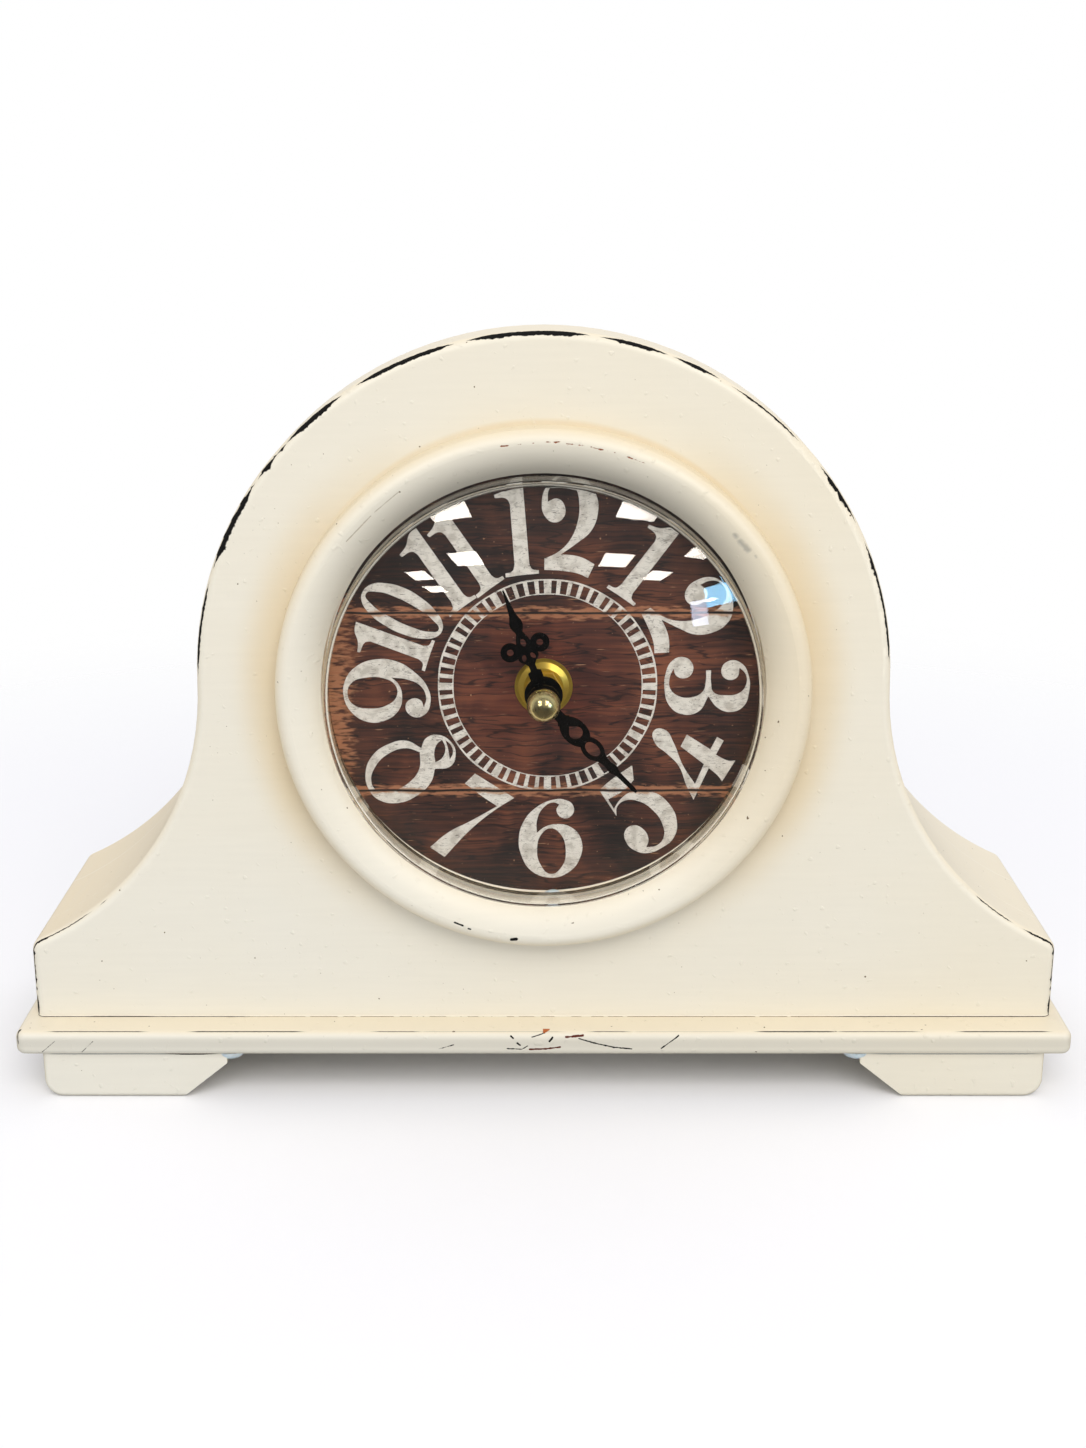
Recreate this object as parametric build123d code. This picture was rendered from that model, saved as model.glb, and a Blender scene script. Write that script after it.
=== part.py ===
from build123d import *
import os
from math import asin, cos, degrees, radians, sin, sqrt

# Tambour mantel clock: a painted wooden case, a domed glass, a paper dial and a quartz movement.
# Millimetres. X runs to the right, Z runs up, and Y is measured from the face of the front panel
# towards the back. The finished pieces are moved along Y so that the whole clock is centred.

# Case
case_width = 300.0
case_height = 221.3
case_depth = 72.0
panel_thickness = 18.0
panel_edge_radius = 2.5
arch_radius = 97.5
shoulder_height = 44.9
shoulder_corner_radius = 4.0
front_block_depth = 30.0
block_crest_radius = 5.0
drum_inset = 7.5
drum_wall = 6.0
rear_panel_thickness = 4.0
access_radius = 52.0

# Base board and feet
base_side_overhang = 4.0
base_front_overhang = 10.8
base_rear_overhang = 3.0
base_thickness = 7.4
base_edge_radius = 2.2
base_corner_radius = 2.8
foot_height = 14.2
foot_length = 54.0
foot_depth = 30.0
foot_side_inset = 7.3
foot_edge_inset = 1.8
foot_land = 3.2
foot_heel_run = 13.4
foot_toe_radius = 5.5
foot_edge_radius = 1.5

# Dial, bezel and glass
dial_height = 121.5
window_radius = 62.2
dial_recess = 6.0
dial_radius = 67.0
paper_thickness = 0.3
dial_plate_thickness = 3.0
retainer_width = 9.0
retainer_thickness = 6.0
bezel_radius = 75.0
bezel_height = 8.4
bezel_crest_inset = 3.8
bezel_crest_round = 3.6
bezel_outer_bearing = -18.0
bezel_inner_bearing = -98.0
bezel_lip_radius = 62.2
bezel_lip_height = 3.0
bezel_swell = 1.3
glass_wall = 1.6
glass_skirt_radius = 61.3
glass_skirt_height = 10.0
glass_shoulder_round = 1.5
glass_rise = 15.5
glass_flange_width = 2.9
glass_flange_thickness = 1.5

# Hands and the hardware in front of the dial
bush_radius = 4.0
bush_bore_radius = 2.6
bush_reach = 4.0
washer_radius = 8.2
washer_sheet = 0.5
washer_rise = 1.6
nut_flats = 9.0
nut_thickness = 2.0
minute_arbor_radius = 1.5
minute_thread_radius = 1.2
minute_thread_length = 4.6
hand_thickness = 0.6
hour_hand_gap = 8.6
minute_hand_gap = 5.4
hour_hand_length = 31.8
hour_hub_radius = 5.35
hour_neck_width = 1.9
hour_ring_radius = 2.7
hour_ring_hole_radius = 0.95
hour_ring_offset = 4.35
hour_body_width = 5.0
hour_spear_width = 3.7
minute_hand_length = 37.0
minute_hub_radius = 4.6
minute_neck_width = 2.9
minute_heart_width = 6.8
minute_heart_rim = 1.45
minute_loop_width = 5.6
minute_loop_rim = 1.2
minute_spear_width = 2.8
hand_collet_wall = 1.2
hour_collet_length = 2.6
minute_collet_length = 1.4
hour_hand_angle = 339.4
minute_hand_angle = 135.6
cap_radius = 4.65
cap_rim = 0.7
cap_step = 0.25
cap_stem_radius = 2.6
cap_stem_length = 3.6

# Quartz movement
gasket_thickness = 1.0
gasket_radius = 9.0
movement_wall = 1.2
movement_corner_radius = 3.0
movement_top = 20.0
train_floor = 17.3
wheel_thickness = 1.2
end_float = 0.5
pivot_radius = 0.4
pivot_length = 0.6
train_arbor_radius = 0.5
motion_arbor_radius = 0.8
knob_radius = 5.5
knob_height = 4.0
knob_gap = 0.4
knob_flutes = 24
battery_radius = 7.1
battery_length = 49.2
battery_button_radius = 2.7
battery_button_length = 1.0
contact_width = 9.0
contact_sheet = 0.4
contact_depth = 1.7
contact_pad_radius = 2.4
magnet_radius = 2.8
magnet_length = 2.4
stator_gap = 0.35
stator_ring = 0.75
stator_thickness = 1.0
stator_bar = 5.0
stator_leg = 3.5
stator_reach = 23.0
stator_wall_gap = 1.3
coil_drop = 7.3
coil_length = 14.0
coil_radius = 2.6
core_width = 2.4
core_thickness = 1.0
post_radius = 1.2
board_width = 14.0
board_height = 14.0
board_thickness = 1.0
board_inset = 1.0
crystal_radius = 1.0
crystal_length = 6.0
chip_width = 5.0
chip_thickness = 1.2

# Gear train: modules, tooth counts and the bearing of each arbor seen from the one that it meshes with
motion_module = 0.40
cannon_teeth = 12
motion_teeth = 36
motion_pinion_teeth = 10
hour_teeth = 40
centre_module = 0.27
centre_teeth = 60
third_pinion_teeth = 8
third_module = 0.22
third_teeth = 64
second_pinion_teeth = 8
second_module = 0.20
second_teeth = 60
intermediate_pinion_teeth = 10
rotor_module = 0.20
intermediate_teeth = 40
rotor_teeth = 8
motion_bearing = 215.0
third_bearing = 40.0
second_bearing = -20.0
intermediate_bearing = -90.0
rotor_bearing = 210.0
train_levels = 6

# Tooth form, in modules and in shares of the tooth spacing at the pitch circle
tooth_share = 0.40
tooth_depth = 1.15
wheel_addendum = 0.75
wheel_tip_share = 0.55
wheel_root_share = 1.15
leaf_addendum = 0.65
leaf_tip_share = 0.60
leaf_root_share = 0.95

# Screws
screw_shank_radius = 1.2
screw_head_radius = 2.2
screw_head_height = 1.5
screw_bite = 9.0
dial_screw_bite = 4.0
dial_screw_count = 4
base_screw_bite = 14.0
base_screw_spread = 60.0
foot_screw_bite = 5.0
arch_screw_bearing = 20.0
leg_screw_rise = 25.5

# Clearances
running = 0.05
fitted = 0.05
seating = 0.3

# Levels and depths that follow from the sizes above
base_width = case_width + 2 * base_side_overhang
base_top = foot_height + base_thickness
arch_centre = case_height - arch_radius
drum_radius = arch_radius - drum_inset
wrap_back = case_depth - rear_panel_thickness
base_front = -base_front_overhang
base_back = case_depth + base_rear_overhang
counterbore_radius = dial_radius + seating
plate_front = dial_recess + paper_thickness
plate_back = plate_front + dial_plate_thickness
retainer_back = plate_back + retainer_thickness
dial_screw_circle = (window_radius + counterbore_radius) / 2
glass_front = -glass_skirt_height - glass_rise
glass_flange_radius = window_radius + glass_flange_width
hour_tube_bore = minute_arbor_radius + running
hour_tube_radius = bush_bore_radius - running
dial_hole_radius = bush_radius + fitted
washer_front = dial_recess - washer_rise
nut_front = washer_front - nut_thickness
bush_front = dial_recess - bush_reach
hour_hand_back = dial_recess - hour_hand_gap
hour_hand_front = hour_hand_back - hand_thickness
minute_hand_back = hour_hand_front - minute_hand_gap
minute_hand_front = minute_hand_back - hand_thickness
cap_base = minute_hand_front - cap_stem_length
cap_dome_base = cap_base - cap_rim
cap_dome_radius = cap_radius - cap_step
movement_front = plate_back + gasket_thickness
cover_back = movement_front + movement_wall
bay_depth = 2 * battery_radius + 2 * seating
movement_back = cover_back + bay_depth
wall_front = movement_back - movement_wall
bay_length = battery_length + battery_button_length + 2 * contact_depth
movement_width = bay_length + 2 * movement_wall
bay_top = -train_floor - movement_wall
bay_bottom = bay_top - bay_depth
movement_bottom = bay_bottom - movement_wall
battery_axis_height = bay_top - bay_depth / 2
battery_axis_depth = cover_back + bay_depth / 2
level_pitch = (wall_front - cover_back - 2 * end_float - wheel_thickness) / (train_levels - 1)
motion_distance = motion_module * (cannon_teeth + motion_teeth) / 2
hour_module = 2 * motion_distance / (motion_pinion_teeth + hour_teeth)
centre_distance = centre_module * (centre_teeth + third_pinion_teeth) / 2
third_distance = third_module * (third_teeth + second_pinion_teeth) / 2
second_distance = second_module * (second_teeth + intermediate_pinion_teeth) / 2
rotor_distance = rotor_module * (intermediate_teeth + rotor_teeth) / 2
depth_shift = -(glass_front + base_back) / 2


def on_bearing(start, distance, bearing):
    return (start[0] + distance * cos(radians(bearing)), start[1] + distance * sin(radians(bearing)))


# Arbor places, seen from the front and measured from the centre of the dial
centre_axis = (0.0, 0.0)
motion_axis = on_bearing(centre_axis, motion_distance, motion_bearing)
third_axis = on_bearing(centre_axis, centre_distance, third_bearing)
second_axis = on_bearing(third_axis, third_distance, second_bearing)
intermediate_axis = on_bearing(second_axis, second_distance, intermediate_bearing)
rotor_axis = on_bearing(intermediate_axis, rotor_distance, rotor_bearing)
coil_axis_height = rotor_axis[1] - coil_drop
stator_right = bay_length / 2 - stator_wall_gap
stator_left = stator_right - stator_reach


def level_front(level):
    return cover_back + end_float + level * level_pitch


hour_level, motion_level, centre_level, third_level, second_level, rotor_level = range(train_levels)
stator_front = level_front(third_level) + (magnet_length - stator_thickness) / 2


# Shared shapes

def slab(outline, front, back):
    # an outline drawn in front view, given thickness between two depths
    return extrude(Plane.XZ.offset(-front) * outline, amount=back - front, dir=(0, 1, 0))


def dial_slab(outline, front, back):
    # the same, with the outline drawn about the centre of the dial
    return Pos(0, 0, dial_height) * slab(outline, front, back)


def disc(radius, front, back, at=centre_axis):
    return dial_slab(Pos(*at) * Circle(radius), front, back)


def block(left, right, bottom, top, front, back):
    # a box on the dial's centre, from its limits in front view and its depths
    outline = Pos((left + right) / 2, (bottom + top) / 2) * Rectangle(right - left, top - bottom)
    return dial_slab(outline, front, back)


def turned(points):
    # a profile of radius and depth, turned about the axis of the dial
    profile = make_face(Polyline(*points, close=True))
    return Pos(0, 0, dial_height) * revolve(profile, Axis.Y)


def closed_outline(*edges):
    return Sketch() + Face(Wire(edges))


def arch_outline(radius):
    # a round-topped outline that stands on the base board
    right_foot, right_spring = (radius, base_top), (radius, arch_centre)
    left_spring, left_foot = (-radius, arch_centre), (-radius, base_top)
    return closed_outline(
        Line(left_foot, right_foot),
        Line(right_foot, right_spring),
        ThreePointArc(right_spring, (0, arch_centre + radius), left_spring),
        Line(left_spring, left_foot),
    )


def case_outline():
    # the tambour outline: a round arch that sweeps out into two low shoulders
    half = case_width / 2
    edges = [
        Line((-half, base_top), (half, base_top)),
        ThreePointArc((arch_radius, arch_centre), (0, case_height), (-arch_radius, arch_centre)),
    ]
    for side in (1, -1):
        end = (side * half, shoulder_height)
        edges.append(Line((side * half, base_top), end))
        edges.append(TangentArc((side * arch_radius, arch_centre), end, tangent=(0, -1)))
    outline = closed_outline(*edges)
    corners = [v for v in outline.vertices() if abs(v.Y - shoulder_height) < fitted]
    return fillet(corners, shoulder_corner_radius)


def gear_outline(teeth, module, addendum, tip_share, root_share, turn=0.0):
    # straight-flanked teeth, the first one at the given angle
    spacing = 360 / teeth
    half = spacing * tooth_share / 2
    pitch = teeth * module / 2
    root, tip = pitch - tooth_depth * module, pitch + addendum * module
    flank = [(root, half * root_share), (pitch, half), (tip, half * tip_share * pitch / tip)]
    points = []
    for tooth in range(teeth):
        middle = turn + tooth * spacing
        points += [on_bearing(centre_axis, r, middle - a) for r, a in flank]
        points += [on_bearing(centre_axis, r, middle + a) for r, a in reversed(flank)]
    return make_face(Polyline(*points, close=True))


def wheel(teeth, module, axis, level, turn=0.0):
    outline = gear_outline(teeth, module, wheel_addendum, wheel_tip_share, wheel_root_share, turn)
    front = level_front(level)
    return dial_slab(Pos(*axis) * outline, front, front + wheel_thickness)


def pinion(teeth, module, axis, level, turn=0.0):
    outline = gear_outline(teeth, module, leaf_addendum, leaf_tip_share, leaf_root_share, turn)
    front = level_front(level)
    return dial_slab(Pos(*axis) * outline, front, front + wheel_thickness)


def meshed_turn(driver_teeth, driver_turn, driven_teeth, bearing):
    # the angle at which a gear's first tooth leaves a gap for its partner's tooth on the line of centres
    passed = (bearing - driver_turn) * driver_teeth / 360
    return bearing + 180 - (0.5 - passed) * 360 / driven_teeth


def arbor(axis, radius):
    # a plain arbor with a thin pivot at each end
    return disc(radius, cover_back + running, wall_front - running, axis) + pivots(axis, pivot_radius)


def pivots(axis, radius):
    return disc(radius, cover_back - pivot_length, wall_front + pivot_length, axis)


def pivot_holes(axis):
    return pivots(axis, pivot_radius + running)


def post(radius, length):
    # a cylinder that stands on the origin
    return Cylinder(radius, length, align=(Align.CENTER, Align.CENTER, Align.MIN))


def screw(bite):
    # a pan-head screw that points up from the face it is driven into
    head = Pos(0, 0, -screw_head_height) * post(screw_head_radius, screw_head_height)
    return post(screw_shank_radius, bite) + fillet(head.edges().sort_by(Axis.Z)[0], screw_head_height / 2)


def pilot(bite):
    # the hole of such a screw, which runs past the face under its head
    return Pos(0, 0, -fitted) * post(screw_shank_radius + fitted, bite + 2 * fitted)


def from_behind(shape, x, y, z):
    return Pos(x, y, z) * Rot(90, 0, 0) * shape


# Screw places

def base_screw_places():
    # two in the front panel and one in each front shoulder block, clear of the feet
    into_panel = [(side * base_screw_spread, panel_thickness / 2) for side in (-1, 1)]
    middle = (drum_radius + case_width / 2) / 2
    into_blocks = [(side * middle, panel_thickness + front_block_depth / 2) for side in (-1, 1)]
    return into_panel + into_blocks


def rear_screw_places():
    # round the edge of the wrap: one at the crown, two on the arch and two on the legs
    circle = drum_radius - drum_wall / 2
    bearings = (arch_screw_bearing, 90, 180 - arch_screw_bearing)
    arch = [on_bearing((0, arch_centre), circle, bearing) for bearing in bearings]
    legs = [(side * circle, base_top + leg_screw_rise) for side in (-1, 1)]
    return arch + legs


def dial_screw_places():
    step = 360 / dial_screw_count
    bearings = [step / 2 + k * step for k in range(dial_screw_count)]
    return [on_bearing((0, dial_height), dial_screw_circle, bearing) for bearing in bearings]


def foot_places():
    # the middle of each foot, seen from above
    x = base_width / 2 - foot_side_inset - foot_length / 2
    front = base_front + foot_edge_inset + foot_depth / 2
    back = base_back - foot_edge_inset - foot_depth / 2
    return {
        "front_left_foot": (-x, front),
        "front_right_foot": (x, front),
        "rear_left_foot": (-x, back),
        "rear_right_foot": (x, back),
    }


# Case

def front_panel():
    panel = slab(case_outline(), 0, panel_thickness)
    face = panel.faces().sort_by(Axis.Y)[0]
    rim = [e for e in face.edges() if e.center().Z > base_top + fitted]
    panel = fillet(rim, panel_edge_radius)
    panel -= disc(window_radius, -seating, dial_recess)
    panel -= disc(counterbore_radius, dial_recess, panel_thickness)
    for x, z in dial_screw_places():
        panel -= from_behind(pilot(dial_screw_bite), x, dial_recess, z)
    for x, y in base_screw_places():
        panel -= Pos(x, y, foot_height) * pilot(base_thickness + base_screw_bite)
    return panel


def shoulder_block(side, front, back):
    # fills the shoulder between the leg of the wrap and the end of the case
    middle = (drum_radius + case_width / 2) / 2
    window = Rectangle(case_width / 2 - drum_radius, arch_centre - base_top)
    outline = case_outline() & Pos(side * middle, (base_top + arch_centre) / 2) * window
    top = [v for v in outline.vertices() if v.Y > arch_centre - fitted]
    outline = fillet(max(top, key=lambda v: abs(v.X)), block_crest_radius)
    shoulder = slab(outline, front, back)
    for x, y in base_screw_places():
        shoulder -= Pos(x, y, foot_height) * pilot(base_thickness + base_screw_bite)
    return shoulder


def drum_wrap():
    wrap = slab(arch_outline(drum_radius), panel_thickness, wrap_back)
    wrap -= slab(arch_outline(drum_radius - drum_wall), panel_thickness, wrap_back)
    for x, z in rear_screw_places():
        wrap -= from_behind(pilot(screw_bite), x, wrap_back, z)
    return wrap


def rear_panel():
    panel = slab(arch_outline(drum_radius), wrap_back, case_depth)
    panel -= disc(access_radius, wrap_back, case_depth)
    for x, z in rear_screw_places():
        panel -= from_behind(pilot(rear_panel_thickness), x, case_depth, z)
    return panel


def rear_panel_screws():
    piece = screw(rear_panel_thickness + screw_bite)
    return [from_behind(piece, x, case_depth, z) for x, z in rear_screw_places()]


def base_board():
    middle = (base_front + base_back) / 2
    plan = RectangleRounded(base_width, base_back - base_front, base_corner_radius)
    board = extrude(Pos(0, middle, foot_height) * plan, amount=base_thickness)
    ends = board.faces().sort_by(Axis.Z)
    board = fillet(ends[0].edges() + ends[-1].edges(), base_edge_radius)
    for x, y in base_screw_places():
        board -= Pos(x, y, foot_height) * pilot(base_thickness)
    for x, y in foot_places().values():
        board -= Pos(x, y, foot_height) * pilot(foot_screw_bite)
    return board


def base_screws():
    piece = screw(base_thickness + base_screw_bite)
    return [Pos(x, y, foot_height) * piece for x, y in base_screw_places()]


def foot(x, y):
    # a bracket foot with a rounded toe at the end of the clock and a slanted heel towards the middle
    side = 1 if x > 0 else -1
    outer, inner = side * foot_length / 2, -side * foot_length / 2
    outline = closed_outline(
        *Polyline(
            (inner, foot_height),
            (outer, foot_height),
            (outer, 0),
            (inner + side * foot_heel_run, 0),
            (inner, foot_height - foot_land),
            close=True,
        ).edges()
    )
    toe = [v for v in outline.vertices() if v.Y < fitted and abs(v.X - outer) < fitted]
    outline = fillet(toe, foot_toe_radius)
    body = Pos(x, 0, 0) * slab(outline, y - foot_depth / 2, y + foot_depth / 2)
    uprights = [e for e in body.edges().filter_by(Axis.Z) if e.length > foot_land + fitted]
    body = fillet(uprights, foot_edge_radius)
    recess = 2 * screw_head_height
    body -= Pos(x, y, 0) * post(screw_head_radius + seating, recess)
    body -= Pos(x, y, recess) * pilot(foot_height - recess)
    return body


def foot_screws():
    recess = 2 * screw_head_height
    piece = screw(foot_height - recess + foot_screw_bite)
    return [Pos(x, y, recess) * piece for x, y in foot_places().values()]


# Bezel, glass and dial

def bezel_ring():
    # a half-round moulding: steep outside, a broad crest and a long round fall to the glass
    crest = (bezel_radius - bezel_crest_inset, bezel_crest_round - bezel_height)
    bearings = (bezel_outer_bearing, -90, bezel_inner_bearing)
    outer, top, inner = [on_bearing(crest, bezel_crest_round, bearing) for bearing in bearings]
    lip = (bezel_lip_radius, -bezel_lip_height)
    swell = ((inner[0] + lip[0]) / 2, (inner[1] + lip[1]) / 2 - bezel_swell)
    rebate = glass_flange_radius + seating
    profile = make_face(
        Curve()
        + [
            Line((bezel_radius, 0), outer),
            ThreePointArc(outer, top, inner),
            ThreePointArc(inner, swell, lip),
            Polyline(
                lip,
                (bezel_lip_radius, -glass_flange_thickness),
                (rebate, -glass_flange_thickness),
                (rebate, 0),
                (bezel_radius, 0),
            ),
        ]
    )
    return Pos(0, 0, dial_height) * revolve(profile, Axis.Y)


def glass():
    # a dome with a round shoulder on an upright skirt, and a flange that the bezel holds on the panel
    skirt, bore = glass_skirt_radius, glass_skirt_radius - glass_wall
    curve = (skirt**2 + glass_rise**2) / (2 * glass_rise)
    inner_curve = curve - glass_wall
    centre = glass_front + curve
    inner_front = glass_front + glass_wall
    bore_front = centre - sqrt(inner_curve**2 - bore**2)
    outer_middle = on_bearing((0, centre), curve, -90 + degrees(asin(skirt / curve)) / 2)
    inner_middle = on_bearing((0, centre), inner_curve, -90 + degrees(asin(bore / inner_curve)) / 2)
    profile = make_face(
        Curve()
        + [
            Line((0, inner_front), (0, glass_front)),
            ThreePointArc((0, glass_front), outer_middle, (skirt, -glass_skirt_height)),
            Polyline(
                (skirt, -glass_skirt_height),
                (skirt, -glass_flange_thickness),
                (glass_flange_radius, -glass_flange_thickness),
                (glass_flange_radius, 0),
                (bore, 0),
                (bore, bore_front),
            ),
            ThreePointArc((bore, bore_front), inner_middle, (0, inner_front)),
        ]
    )
    corners = [v for v in profile.vertices() if v.X > bore + fitted]
    profile = fillet(min(corners, key=lambda v: v.Y), glass_shoulder_round)
    return Pos(0, 0, dial_height) * revolve(profile, Axis.Y)


def dial_sheet(front, back):
    sheet = disc(dial_radius, front, back) - disc(dial_hole_radius, front, back)
    for x, z in dial_screw_places():
        sheet -= from_behind(pilot(back - front), x, back, z)
    return sheet


def dial_retaining_ring():
    ring = disc(dial_radius, plate_back, retainer_back)
    ring -= disc(dial_radius - retainer_width, plate_back, retainer_back)
    for x, z in dial_screw_places():
        ring -= from_behind(pilot(retainer_thickness), x, retainer_back, z)
    return ring


def dial_screws():
    piece = screw(retainer_back - dial_recess + dial_screw_bite)
    return [from_behind(piece, x, retainer_back, z) for x, z in dial_screw_places()]


# Hardware on the centre of the dial

def centre_bush():
    return disc(bush_radius, bush_front, cover_back) - disc(bush_bore_radius, bush_front, cover_back)


def gasket():
    body = disc(gasket_radius, plate_back, movement_front)
    return body - disc(dial_hole_radius, plate_back, movement_front)


def dial_washer():
    # a dished brass washer: flat rim on the dial, slope, and a raised seat for the nut
    rim = washer_radius - 2 * washer_sheet
    seat = (rim + dial_hole_radius) / 2
    return turned(
        [
            (dial_hole_radius, washer_front),
            (seat, washer_front),
            (rim, dial_recess - washer_sheet),
            (washer_radius, dial_recess - washer_sheet),
            (washer_radius, dial_recess),
            (rim - washer_sheet / 2, dial_recess),
            (seat - washer_sheet / 2, washer_front + washer_sheet),
            (dial_hole_radius, washer_front + washer_sheet),
        ]
    )


def bush_nut():
    outline = RegularPolygon(nut_flats / 2, 6, major_radius=False)
    return dial_slab(outline, nut_front, washer_front) - disc(dial_hole_radius, nut_front, washer_front)


# Hands, drawn pointing up from the centre of the dial

def hand_limb(length, *stations):
    # a tapering limb through pairs of share of the hand's length and width
    right = [(width / 2, share * length) for share, width in stations]
    left = [(-x, y) for x, y in reversed(right)]
    return make_face(Polyline(*right, *left, close=True))


def oval(length, share, width, height, x=0.0, tilt=0.0):
    return Pos(x, share * length) * Rot(0, 0, tilt) * Ellipse(width / 2, height / 2)


def hour_hand_outline():
    # hub, stepped neck, a pierced body between two rings, and a spear
    tip, neck, body, spear = hour_hand_length, hour_neck_width, hour_body_width, hour_spear_width
    ring = 0.46
    outline = Circle(hour_hub_radius)
    outline += hand_limb(tip, (0, 2 * neck), (0.225, 2 * neck), (0.24, neck))
    outline += hand_limb(tip, (0.24, neck), (0.29, neck), (0.33, 2 * neck))
    outline += oval(tip, 0.435, body, 1.7 * body)
    outline += oval(tip, 0.375, 1.16 * body, 0.8 * body)
    outline += hand_limb(
        tip,
        (0.53, 0.75 * body),
        (0.6, 0.52 * spear),
        (0.665, spear),
        (0.7, 0.95 * spear),
        (0.765, 0.55 * spear),
        (0.88, 0.3 * spear),
        (1, 0.1 * spear),
    )
    for side in (-1, 1):
        x = side * hour_ring_offset
        outline += Pos(x, ring * tip) * Circle(hour_ring_radius)
        outline -= Pos(x, ring * tip) * Circle(hour_ring_hole_radius)
        outline -= oval(tip, 0.37, 0.25 * body, 0.4 * body, side * 0.26 * body, side * 20)
    return outline - oval(tip, 0.505, 0.3 * body, 0.46 * body)


def minute_hand_outline():
    # hub, barbed neck, a heart-shaped loop, a long loop, and a spear with a thin tip
    tip, neck, spear = minute_hand_length, minute_neck_width, minute_spear_width
    heart, loop = minute_heart_width, minute_loop_width
    heart_hole, loop_hole = heart - 2 * minute_heart_rim, loop - 2 * minute_loop_rim
    outline = Circle(minute_hub_radius)
    outline += hand_limb(
        tip,
        (0, neck),
        (0.19, neck),
        (0.215, 1.5 * neck),
        (0.235, neck),
        (0.26, 0.75 * heart),
    )
    outline += oval(tip, 0.335, heart, 1.5 * heart)
    outline += hand_limb(tip, (0.4, 0.8 * heart), (0.45, 0.8 * neck), (0.49, 0.8 * loop))
    outline += oval(tip, 0.525, loop, 1.4 * loop)
    outline += hand_limb(
        tip,
        (0.56, 0.93 * loop),
        (0.635, 0.92 * spear),
        (0.69, 0.76 * spear),
        (0.745, spear),
        (0.8, 0.5 * spear),
        (0.97, 0.42 * spear),
        (1, 0.2 * spear),
    )
    outline -= oval(tip, 0.345, heart_hole, 0.95 * heart_hole)
    outline -= Pos(0, 0.31 * tip) * Rot(0, 0, 45) * Rectangle(heart_hole / 2, heart_hole / 2)
    return outline - oval(tip, 0.525, loop_hole, 1.6 * loop_hole)


def hand(outline, angle, back, bore, collet_bore, collet_length):
    # a flat stamped hand with a collet behind it that grips its tube or arbor
    blade = dial_slab(Rot(0, 0, -angle) * outline, back - hand_thickness, back)
    blade -= disc(bore, back - hand_thickness, back)
    collet = disc(collet_bore + hand_collet_wall, back, back + collet_length)
    return blade + (collet - disc(collet_bore, back, back + collet_length))


def hour_hand():
    bore = hour_tube_radius + fitted
    return hand(hour_hand_outline(), hour_hand_angle, hour_hand_back, bore, bore, hour_collet_length)


def minute_hand():
    bore, collet_bore = minute_thread_radius + fitted, minute_arbor_radius + fitted
    outline = minute_hand_outline()
    return hand(outline, minute_hand_angle, minute_hand_back, bore, collet_bore, minute_collet_length)


def cap_nut():
    # a domed brass nut on a narrow stem, on the thread of the minute arbor
    bore = minute_thread_radius + fitted
    bore_front = minute_hand_back - minute_thread_length - fitted
    cap_front = cap_dome_base - cap_dome_radius
    shoulder = (cap_dome_radius, cap_dome_base)
    profile = make_face(
        Curve()
        + [
            Polyline(
                (0, cap_front),
                (0, bore_front),
                (bore, bore_front),
                (bore, minute_hand_front),
                (cap_stem_radius, minute_hand_front),
                (cap_stem_radius, cap_base),
                (cap_radius, cap_base),
                (cap_radius, cap_dome_base),
                shoulder,
            ),
            ThreePointArc(shoulder, on_bearing((0, cap_dome_base), cap_dome_radius, -45), (0, cap_front)),
        ]
    )
    return Pos(0, 0, dial_height) * revolve(profile, Axis.Y)


# Moving pieces of the movement

motion_turn = meshed_turn(cannon_teeth, 0, motion_teeth, motion_bearing)
hour_turn = meshed_turn(motion_pinion_teeth, 0, hour_teeth, motion_bearing + 180)
third_turn = meshed_turn(centre_teeth, 0, third_pinion_teeth, third_bearing)
second_turn = meshed_turn(third_teeth, 0, second_pinion_teeth, second_bearing)
intermediate_turn = meshed_turn(second_teeth, 0, intermediate_pinion_teeth, intermediate_bearing)
rotor_turn = meshed_turn(intermediate_teeth, 0, rotor_teeth, rotor_bearing)


def hour_wheel():
    back = level_front(hour_level) + wheel_thickness
    body = wheel(hour_teeth, hour_module, centre_axis, hour_level, hour_turn)
    body += disc(hour_tube_radius, hour_hand_front, back)
    return body - disc(hour_tube_bore, hour_hand_front, back)


def minute_arbor():
    body = disc(minute_arbor_radius, minute_hand_back, wall_front - running)
    body += disc(minute_thread_radius, minute_hand_back - minute_thread_length, minute_hand_back)
    body += disc(pivot_radius, wall_front - running, wall_front + pivot_length)
    return body + pinion(cannon_teeth, motion_module, centre_axis, motion_level)


def motion_wheel():
    body = arbor(motion_axis, motion_arbor_radius)
    knob_back = movement_back + knob_gap + knob_height
    body += disc(motion_arbor_radius, wall_front - running, knob_back, motion_axis)
    body += pinion(motion_pinion_teeth, hour_module, motion_axis, hour_level)
    return body + wheel(motion_teeth, motion_module, motion_axis, motion_level, motion_turn)


def setting_knob():
    front = movement_back + knob_gap
    module = 2 * knob_radius / (knob_flutes + 2 * wheel_addendum)
    rim = gear_outline(knob_flutes, module, wheel_addendum, wheel_tip_share, wheel_root_share)
    body = dial_slab(Pos(*motion_axis) * rim, front, front + knob_height)
    return body - disc(motion_arbor_radius + fitted, front, front + knob_height, motion_axis)


def centre_wheel():
    front = level_front(centre_level)
    body = wheel(centre_teeth, centre_module, centre_axis, centre_level)
    return body - disc(minute_arbor_radius + running, front, front + wheel_thickness)


def third_wheel():
    body = arbor(third_axis, train_arbor_radius)
    body += pinion(third_pinion_teeth, centre_module, third_axis, centre_level, third_turn)
    return body + wheel(third_teeth, third_module, third_axis, third_level)


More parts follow.
